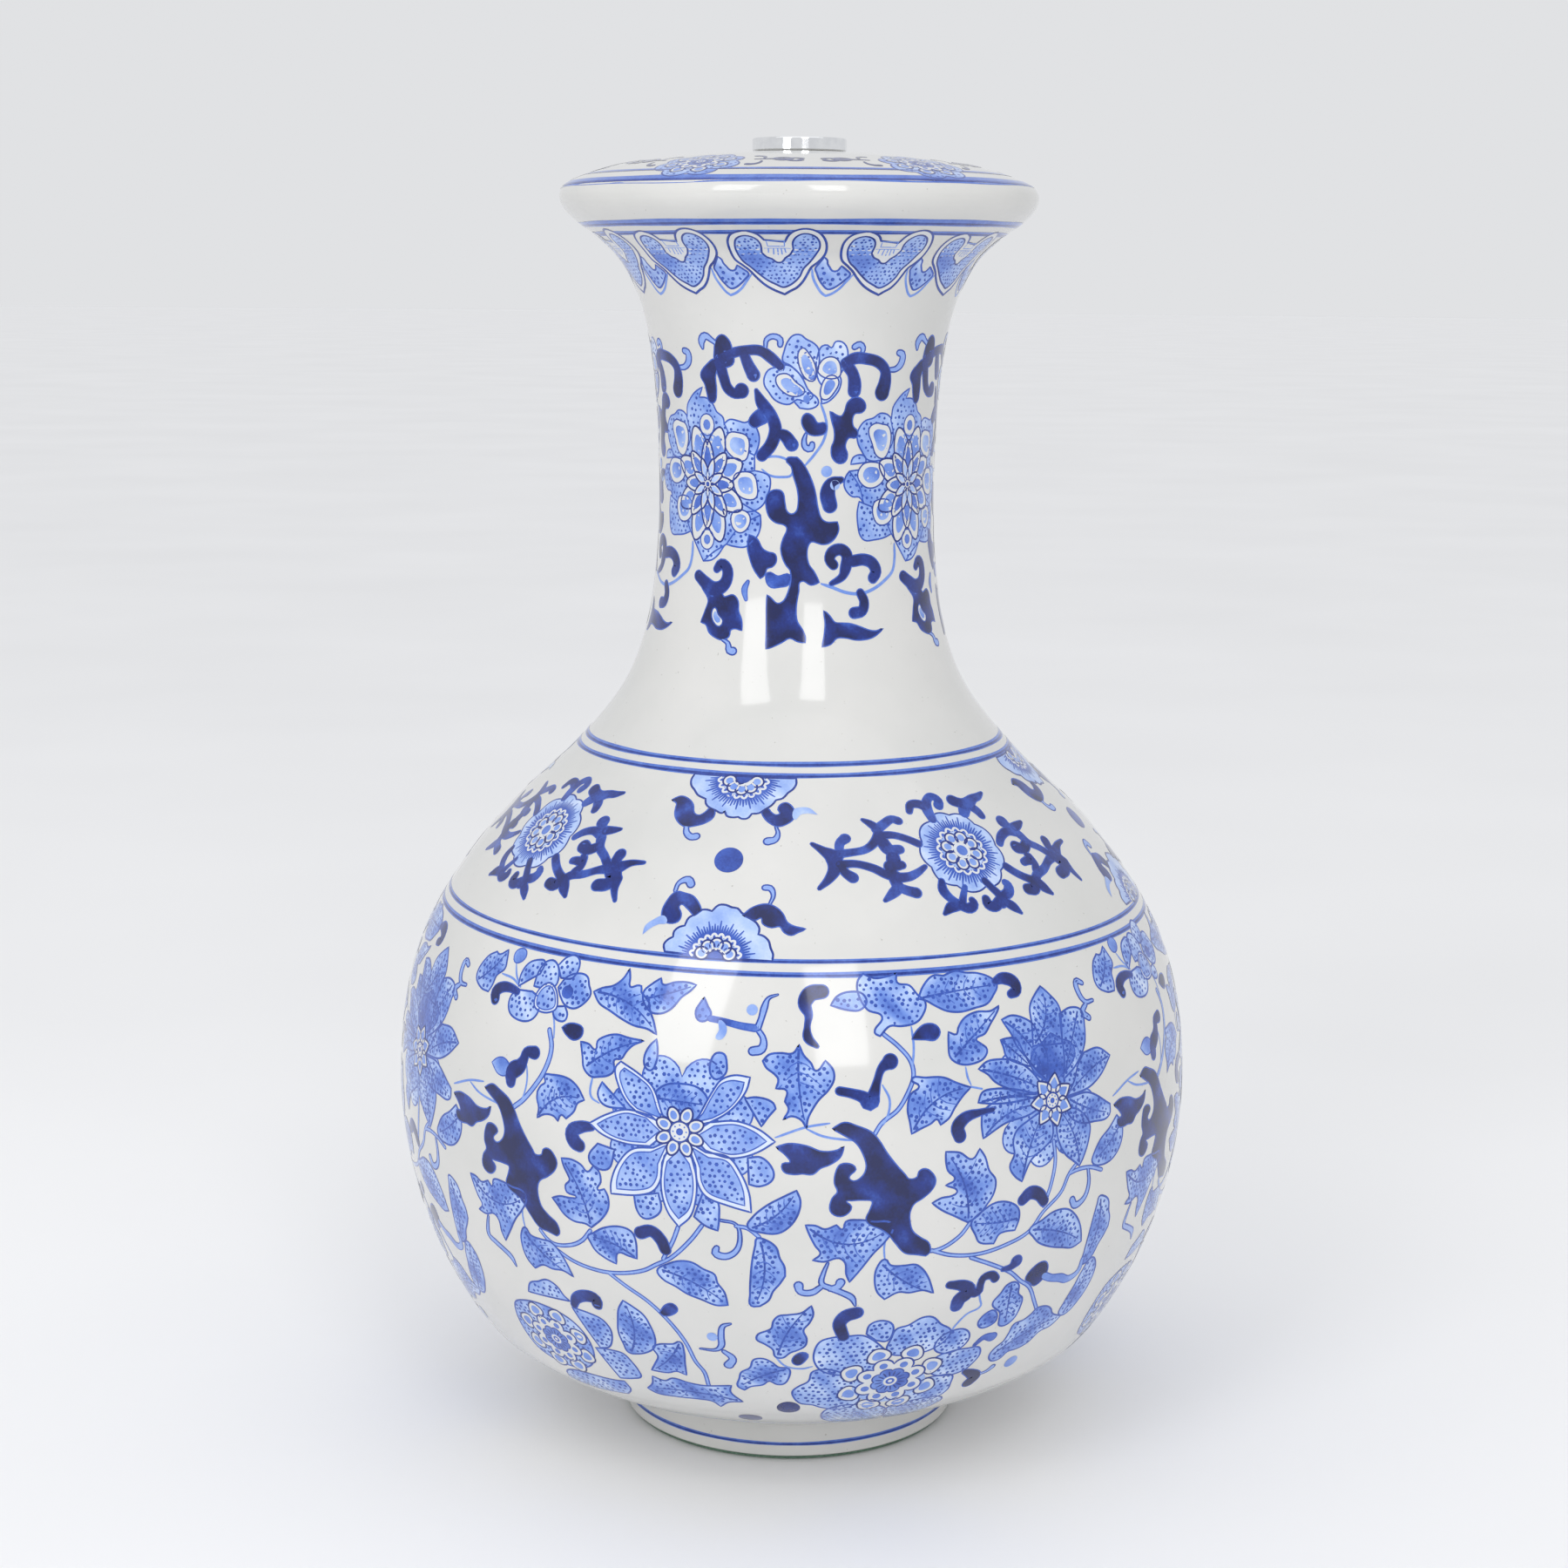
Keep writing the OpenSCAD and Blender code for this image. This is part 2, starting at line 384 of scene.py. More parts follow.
def stipple(plane, poly, level, spacing, size, gap):
    """Dots of blue scattered evenly over an area."""
    dice = plane.dice
    k = float(plane.stretch(poly[:, 1].mean()))
    pts = away_from(poly, grid_in(poly, spacing, 0.22, dice, 1 / k), gap)
    for p in pts:
        disc(plane, "dots", p, size * dice.uniform(0.75, 1.25), level, 0.74, sides=6)


# ---------------------------------------------------------------- the painted pattern
# One shape to an entry: its kind, its tone or width, then degrees right of the front and height in
# mm, with the brush's width in mm after them for strokes. A point marked ! is a corner.
# a quarter of the neck
NECK = """
petal .3: -42 325! -38 324.8 -35 323 -33.5 321 -30.5 319.3 -30 317! -30 317.5! -27.5 318.8 -24 318.5
    -21 318 -18.5 318.5 -16.5 317 -15 314 -15.5 311 -17 308.5! -17 304! -13.5 303.5 -11 302.5 -10.5
    300 -11.5 297 -13 294.5 -15 293 -18 292 -22 292 -26 293.5 -29 297! -15.2 291.5! -14.5 291! -14.3
    288 -15.5 285 -18 283 -20.5 281.5 -26 281.5 -29 282! -30 281.5! -33 278.5 -36 277 -40 276.5! -48
    285! -52 284 -57 283.5 -61.5 283.5 -63.5 285 -64.5 288 -64.8 292 -64 295! -62 294.5! -64 296.3
    -67 296.5 -69.5 298 -70.7 300 -70 302.5 -68.5 304! -62 304.5! -61.5 308 -64 308.8 -67 308 -68
    306! -54 307! -58 306.8 -61 307.5 -63 309.5 -65 312 -65.5 315 -64 317.5 -62 318.8 -58.5 319.5
    -55.5 320.8 -52 320.5 -50 319.5! -49.5 319! -49 322.5 -47 324.5 -44 326.5 -40 328!
seam .5: -30 317.5! -27.5 318.8 -24 318.5 -21 318 -18.5 318.5 -16.5 317 -15 314 -15.5 311 -17 308.5!
seam .5: -17 304! -13.5 303.5 -11 302.5 -10.5 300 -11.5 297 -13 294.5 -15 293 -18 292 -22 292 -26
    293.5 -29 297!
seam .5: -14.5 291! -14.3 288 -15.5 285 -18 283 -20.5 281.5 -26 281.5 -29 282!
seam .5: -30 281.5! -33 278.5 -36 277 -40 276.5!
seam .5: -54 307! -58 306.8 -61 307.5 -63 309.5 -65 312 -65.5 315 -64 317.5 -62 318.8 -58.5 319.5
    -55.5 320.8 -52 320.5 -50 319.5!
seam .5: -62 294.5! -64 296.3 -67 296.5 -69.5 298 -70.7 300 -70 302.5 -68.5 304!
seam .5: -48 285! -52 284 -57 283.5 -61.5 283.5 -63.5 285 -64.5 288 -64.8 292 -64 295!
white: -29 311 -27.5 314.3 -24 314.5 -20.5 313.5 -20 310 -21.5 307.5 -25 307.8
white: -25 302 -22 303 -18 302.5 -16.5 299.5 -17 296.5 -20 296 -24 297.5
white: -26 291 -22 291.8 -19.5 290.5 -20 287.5 -23 286 -26 287.5
white: 30.5 316 33 317.3 36 317 38.5 316.5 40 314 39 310 37 308.3 34 309 32 312
white: 26 303 28 305.5 32 306 36 305 37 302 34.5 300 30 299.5 27 301
white: 33.5 294 37 295 41 294 41.5 290 38 288.3 34.5 289
blue .45: -46 311 -43 314 -38 314.5 -33 313 -30 309 -29.5 304 -31 301 -36 303 -40 307 -45 307
blue .55: -41.5 305 -42 309 -40 311.5 -37.5 310.5 -38.5 307
blue .6: -36 303.5 -35 307 -32.5 308 -30.8 306 -31.5 303.8
crown: -38.5 299.5 8.6 12.2 8
lobe: -38.5 283 2.6
lobe: -38.5 317 2.8
hook: -38.3 339.5 1.2, -38.5 341.5 2.6, -36.5 343 2.4, -34 342 1.8, -32 341 1.5
blot .95: -32.5 335 -32.7 339 -31.5 342 -29 343.3 -26.5 342 -25.3 339 -25.5 335
blot .95: -32.5 336, -37 334.5, -40.3 331.5, -38.5 329, -37.5 326, -36.5 323.8, -34.5 323.8, -33.3
    327, -33.5 331
brush .9: -31 335 3.5, -29.5 331 3, -28 328 2.8, -25 326.5 2.6, -22 327.3 4
brush .9: -31 336 3, -25 338.2 2.5, -20 339 2.4, -14 339 2.6, -10 337 2.8, -6.5 334.5 2.2
brush .9: -20.5 338 2.5, -19 335 3, -17 332 3.6
hook: -12 340 1.2, -11.5 342.2 1.6, -9 343.2 1.8, -6.5 342.3 2, -6.5 340.8 1.8
petal .2: -11 333.5 -8 334.3 -4 335 -1 333.8 2 331 4 328 6 326 3 324.5 0 325 -3 323.6 -6 323.8 -9
    325 -11 327 -12.7 329 -12.8 331
petal .2: -5.5 336 -5 339 -3.5 342 -1.5 343.6 1 343.7 3 342.5 5.5 341.5 7.5 340 8 338 7.8 334 6 331
    3 331 0 333 -3 335
petal .2: 7 334.5 7.5 338 9 340.5 11 340.8 12.5 340 14 341.8 16.5 341.7 18.5 340 19 337 18 334.5
    16.5 332.5 14 330 11 328.5 8.5 330
petal .2: 9 327! 11 331 14 332.3 16.5 331.5 16.5 328.5 14.5 326 11.5 324.2 9.5 323.8!
petal .2: -2 325! 0 327 3 327.3 6 326.5 8 325 8 323.5 5 322.3 1 322.5!
white: -7.5 331 -4 332 -1 330 2 327.5 -3 326.5
white: 0.5 337 2 339.3 4 338 6.5 334 5.5 331
white: 8.5 333 9.5 336 12 337 14.5 336.5 16 334 15.5 332
white: 9.5 328.5 11.5 331.3 14 331.5 15.5 330 14 327.3 11.5 325.5 9.8 325.8
blue .55: -3 329.5 0 329 2 326.5 -1 326.5
blue .55: 3 335 5.5 334.5 6.5 331.5 4.5 331
core: 3.6 325.2 1.3
line .8: 9 324, 11 320, 11.7 317, 10.5 313, 7 309, 3 305.5
brush .88: -16 327.5 .8, -14 324 3, -10 320 3, -8.5 316 3.2, -10.5 311.5 3.2, -14 308.5 3
blot .9: -13 322 -18 320 -19 318 -17 316.8 -14.5 317.5 -11.5 319
brush .9: -8 315 2, -5 314.5 3, -2 311.8 3.4
line .75: -14 307.5 -10 308.3 -5 307.8 -2 306 -2 303 -6 302.3 -11 302.8 -14 304.5
blot .95: 0 308! -4 307.5 -2 305.5 -1 302.5 0.5 299 1 295 0 292 -2 291.3 -4 292.3 -4.8 294.5 -6 298
    -9 298.3 -11.5 297 -12 294 -10.5 290.5 -8 289 -5 288.5 -3.5 287.5 -5 284 -5.8 281.5 -5 278.5
    -3.5 276.3 -2 275 -3.2 267.5 -5 265.5 -7 265 -9.5 266.5 -11 267.5! -11 264 -10.7 258 -10.5 252!
    -8 252.8 -5 254 -2 255.3 1 254.3 3.5 254! 3.5 255.5 2.5 257.5 0.5 260 0 263 0.3 266 1 269 1.3
    271.5 3 272 6 270.8 9 271.5! 7 274.5 5 276.5 4.2 279 4.5 282 6 283.5 8 283.3 10 282.8 13 283
    15.5 284.5 17 287 16.5 289! 12 289 10 290 8.5 293 7.5 297 6.5 300 4.5 303.5 2 306.5
blot .8: -2.5 273.5 -7 273 -11 274 -11.3 271.5 -9.5 270 -6 270.2 -3 270.8
blot .95: 2 319 3.5 320.8 6 320 8 318 11 318 11 315.5 8 314.7 5 315 3 316.5
hook: 3.5 315 1, 2.8 313 1.6, 3.5 311 2, 5.5 310.8 2.2, 6 312 1.8
blot .92: 13 321.5! 15 320.5 17.5 320 19 321.5 20 324 23 325.5 26.5 324.5 27.5 322.5 26 321.3 23 321
    22 319.5 22.5 317 24.5 315.5 24 314 21 314 19.5 312.5 19.3 311 20.3 309 19.5 307 17 306.5 14.5
    308 14 311 15 313 15 316 14 318.5
brush .9: 18 301.5 1.5, 14 300.5 3, 12.5 297.5 4, 13.5 294 4
spot .4: 12 304 1.7
spot .35: 15.5 300 1.5
brush .92: 15 276.5 2.5, 13.5 278 2.6, 14.5 280.2 3, 18 281 3, 20.5 279.5 3, 20 275.5 3, 18.5 273 2,
    14 271 1
brush .92: 21 277.5 3, 23 277.5 3, 28 277.8 3, 32 276.5 3.2, 33.5 274 3.4, 32 272.3 3
line 1: 10 271, 14 270, 20 268.3, 26 267.8, 32 269, 38 271.5, 42 274, 43.5 278, 43.5 282
brush .9: 26 268 2.2, 27.5 265.5 2.6, 26.5 262.8 2.8, 23 262.2 3
blot .88: 11 263! 13 261.5 15 259.5 18 259.2 21 259 25 258 29 256.8 32 256.5 35 257.2! 31 255.3 28
    254.6 23 254.5 19 255.2 15.5 255.2 13 253.5 10 252.7! 11 256 11.5 259.5
brush .92: 18.5 335.5 3, 22 337 3, 27 336.8 2.8, 32 335.8 2.8, 35.5 333.5 3, 36 330 4, 35 327 4.6
brush .92: 19 335 3, 21.5 332.5 3, 22.5 329.5 3.6, 22.5 327.5 3.6
hook: 24.5 338 1.2, 25 340 1.8, 23.5 341 2, 21.5 340.3 2
hook: 37.5 333.5 1.5, 41 333.8 2, 43.5 335.5 2.6, 43.5 338 2.4, 41.5 338.5 2
brush .92: -33 274.5 2, -31 276 2.8, -28.5 275 3, -28 272 3.2, -30 269.5 3.5, -34 268.5 4, -38 270
    3.5, -42 272 3
blot .92: -40 270.5 -36 265 -37 262 -38.5 258.5! -36 258 -34 255.8 -31 254.5 -28 254 -25.5 255 -25
    257 -23 257.5 -20.5 257! -21 260 -22.5 262.5 -23 265.5 -25 267 -27.5 266.5 -29 266.3 -31 268.5
white: -33.5 262 -32.5 262.7 -31 261 -29 259.5 -30 258 -33 259.5
hook: -28 254 1, -25.5 253 1.6, -24.5 251 2.4, -23 250.8 2.6
blot .92: -19 285! -16 284 -13.5 281 -11 280 -8.5 279.5 -8 277.5 -9.5 276 -11.5 275.5 -12.5 273.5
    -14 272.5! -16.5 275 -18.5 278.5 -19.5 281.5
brush .6: -19 271.3 .6, -20.3 269 1.4, -19.5 266 .6
"""

# a quarter of the shoulder
SHOULDER = """
rosette -12.3 217 -1: -25.2 217! -25.6 215.5 -25 214 -23.8 213! -22.5 211.8 -21 211.2 -20.3 211!
    -19.8 209.8 -18.8 209 -17.2 208.4! -15.5 207.8 -15 208.3! -14.3 207.2 -13 206.9 -11.8 207.1! -11
    206.7 -9.7 206.9 -9 208! -7.5 208.2 -6.2 209.2! -4.8 210.3 -4 211.5! -2.5 212 -1.4 213.3! 0
    214.5 .6 215.8 .5 217!
blot .9: -28.2 210! -26.5 211 -24.5 210.6 -22.8 209.3 -21.8 207.3 -20.5 206.8 -19.3 207.6 -18.4
    208.8 -17.3 208 -17.3 206.6 -18.5 205.3 -20.5 204.4 -22.5 204 -24.5 205 -25.8 206.5 -26.4 208.3
    -26.6 209.2
hook: -22.3 204 1.6, -21.8 202.6 2, -20.5 201.6 2.4, -19.5 201.8 2.6
blot .9: -6.8 208.3! -6 207 -4.8 205.9 -3.2 205.2 -1.5 205.8 -.2 207 0 209 -.8 210.3 -1.8 210.8 -3
    210.2 -3.3 209.2 -2.8 208.3 -3.8 207.8 -5 208.5 -5.7 209.3
blue .35: 0 209.2 1.5 209.8 3.5 209.6 5.2 208! 3 208.3 1.5 208 .2 206.8
hook: -3.6 205 1, -3.1 203.5 1.4, -3.6 202 2.2, -5 201.5 2.8
spot .75: -11.9 196.7 4.2
rosette -11.6 172.3 1: -19.5 173.2! -19.9 175 -19.3 176.4 -18.7 177! -18.7 178.5 -18 179.6 -17.2
    180! -16.8 182 -15.8 183! -15.2 184 -14 184.3 -13.2 184! -12.2 185.6 -11 185.7 -10 185.2 -9 185
    -8.3 184! -7 182.8 -5.8 181.7 -5.2 180.2 -5.3 178.8! -4.7 178.6 -3.7 177.4 -3.3 175.5 -2.9 174
    -3 172.3!
blot .9: -20 188 -18.5 187.8 -17 187.3 -15.8 185.8 -15 184! -16 182.7! -17.5 184.5 -18.6 185.3 -19
    184.5 -18.3 182.8 -18.5 181 -19.8 180.4 -21 181 -21.5 183 -21.2 185.5
blue .4: -21 182 -22.5 181 -23.8 179 -23.8 176.8! -22.8 178.5 -21.5 179.8 -20.3 180.2
hook: -20.3 188.3 1.3, -20 190.3 1.6, -18.5 191.2 2.6, -17.8 190.2 2.6
blot .9: -8 183.4! -6.5 185.3 -4.3 186.2 -2.6 185.3 -1.6 183.8 -1 182 0 181 2 180.3! .8 179.6 -.2
    178.9 -1.3 179.6 -2 181 -3.3 180.7 -4.7 181.6 -5 183 -6 182.4 -7.2 183
hook: -3.8 186.3 1, -3.3 188.5 1.4, -3.9 190.2 2, -4.8 190.3 2
brush .85: 3.6 201 .8, 5.5 199.5 2.2, 7.5 197.5 4.5, 7.5 195 3.5, 6.3 192.5 2.2, 4.5 190.2 .8
brush .85: 8.7 198 2, 9 201 2.2, 10.2 202.2 2.8
brush .85: 8.5 196 2, 9.3 194 2.4, 10.5 192.7 3
brush .85: 8 198.5 2.5, 11 198.8 2, 14 199.5 2, 16.3 201.5 2.4, 17.3 203.8 2.6, 16 205.5 2, 14.6
    206.5 .8
brush .85: 17 204 2.6, 19 205.3 2.4, 21 206.3 2.2, 22.3 205.8 2.4
brush .85: 17 202.5 2.5, 20 202.5 2, 22.5 201.5 2, 24.8 200 2.2
brush .85: 17.5 201 3.5, 18.5 199 3.5, 20.5 199 2.6
brush .85: 18.8 197.2 3.6, 18.8 195.5 4, 20 195.2 2.4
brush .85: 8.5 196 2.4, 11.5 196 2, 14.5 194.8 2.2, 17 193 2.6, 18.5 192.5 3
brush .85: 17.8 195 3.6, 18 192.8 3, 20.5 192.2 2.4, 22.5 193 1.8, 24.5 194.4 1
brush .85: 18 192 3, 18.2 189.8 3, 17 188.3 2.4, 15.5 186.8 .8
brush .85: 18.5 189.8 2.4, 20 188.8 2.6, 21.3 188.2 3
brush .85: 30.3 205.5 2.4, 30.3 208.3 3, 31.5 210.3 2.2, 33 210.9 2.2, 34.2 209.8 2.4, 33.5 208.5
    2.6
brush .85: 30 208.8 3, 28.3 209.5 2.6, 26.6 209.3 2.2, 25.7 207.8 1.6
brush .85: 39 206 3, 40.3 207.6 4
brush .85: 38 209.3 3.6, 39.5 208.5 3.5, 41 208 4, 44 209 2.6, 46 209.3 2, 48 210 .6
brush .85: 42 207.3 3, 43 205.8 2.8, 43.2 204.8 2.4
brush .85: 43.2 197.6 2, 44.5 199 2.4, 47 200 2.6, 49.5 199.5 3.4
brush .85: 48.5 201.3 2.6, 47.8 202.4 4
brush .85: 50 200.5 3, 52 201 2, 53.3 201.4 .8
brush .85: 50 198.5 3, 51 196.3 2.4, 53 194.5 2.2, 54.5 192.8 2.4
brush .85: 50.5 196.5 3, 48.5 195.3 3.4, 46.9 195.9 4
brush .85: 48.3 193.5 2, 48.8 192.3 2.4, 47.3 192.2 2.4, 46.3 192 2
brush .85: 48.8 193 2.2, 49 191 2.4, 48.3 189.3 2.8
brush .85: 41.6 191.8 2.4, 43 190 2.4, 44.8 188.3 2.4, 46.5 187.3 2.8, 48 188.5 2.6, 50.5 189.3 2.2,
    53 190.8 2.2, 55 191.6 3
brush .85: 46.5 187 3.4, 45.3 185.3 3.6, 43.8 185.5 3.2
brush .85: 47 186.5 3.6, 48 184.8 3, 49 183.2 1
brush .85: 55.5 192 4, 57 190 5, 56.5 188 4, 54.5 187.3 3.6
brush .85: 56 194 3, 56.3 195.5 3.4
brush .85: 57.5 192.5 3.5, 59.5 193.8 1.8, 62 194.3 .8
brush .85: 58 189.5 3, 58.3 187 2, 59.3 184.2 .8
brush .85: 26.7 190.5 1.6, 26.4 188.3 2.6, 27.3 186 2.2, 28.5 184.6 1.8
brush .85: 30.8 188.5 1.2, 29.8 186.3 1.6, 29 184.3 2.2
brush .85: 28.5 184.2 2.6, 27 184 3, 25.3 182.5 .8
brush .85: 29 183.8 2.6, 30.2 183.2 2.8, 31.3 184.2 2.4, 31.2 185 1.8
brush .85: 35.3 189.3 2.2, 36.2 187.2 2.2, 37 185.3 2.6, 36.8 183.5 3.4
brush .85: 36.5 183.8 3, 35 182.8 3, 34 183.5 3, 34 184.8 2.4
brush .85: 37.3 184.8 2.4, 39.3 185.8 3, 39.8 187.5 2.6, 39.5 188 2
brush .85: 37.8 183.3 2.6, 39 181.8 2.6, 39.9 180.2 .8
"""

# outlines that both kinds of belly group have
TRUNK = """-46 128.5! -44.5 130 -43 129 -41 127 -40 124.5 -39 121 -37.8 117.5 -36.6 114.5 -36 113
    -34.8 113.5 -34.6 115 -33.8 115.6 -32.8 114 -32.4 112 -32.8 109.8 -34 107.5 -35.3 105.8 -35.8
    103.5 -35.8 101 -35.3 97.5 -34 95 -33 93.5 -32.7 90.5 -33.2 89.6! -34.5 90.3 -36 91 -37.5 94.5
    -38.5 97.3 -39.5 99 -40.8 100.3 -41.5 101.8 -41 105 -40.8 107.5 -41.8 108 -43.5 108 -44.3 107.8
    -43.6 106 -44.3 103.8 -45.3 103.5 -46.2 105 -46 108.5 -45.3 110.5 -45.7 113 -45.5 116.5 -45
    118.2 -43.5 118 -43.1 116.8 -43.6 115.8 -44 114.5 -43.3 113.3 -42 115 -41.6 117.5 -42 121 -43
    124.5 -44.8 127"""
TRUNK_LEAF = """-1.8 123.3! -.3 124.2 2 123.6 4 122 6 122.3 6.8 123.3! 6.3 120.5 5 118.5 3.8 117.5
    2.8 115.8 1.5 116 .5 115.8 -.8 116.5 -1 118.5 0 119 -.5 121"""
BROAD_LEAF = """2 100.8! 3.3 100.6 4.5 99.5 6 100.7! 6.8 99.3 7.2 101.6 9 102 11 101.3 13 100.8 13.5
    99 12.5 95 11 91.5 9.5 87 8 82.8! 7.5 85.5 7.3 89 6.5 90.5 4.5 89.5 3 90! 4 92 3.3 94.5 2.5
    98"""
LOW_LEAF = """-38.8 89.5 -38 87.5 -36 87 -34.5 87 -33.5 85.5 -32.5 82.5 -31.4 77! -33 78.3 -35 78
    -36.5 78.5 -38.4 76.5! -39.5 79 -40 83 -39.8 87"""
LONG_LEAF = """-4.3 96.5 -3 96 -1.8 94 -1.3 90.5 -.7 88 -.6 85! -1.3 82.5 -2.2 80 -2.8 77 -4 75!
    -5.2 75 -5.3 79 -5.2 84 -4.9 90 -4.5 94.5"""
TENDRIL = """5 89 1, 4.5 86 1.4, 4.3 82.5 1.8, 5.5 81 2, 7 79.5 2, 8.5 77.5 2, 9 75 .8"""

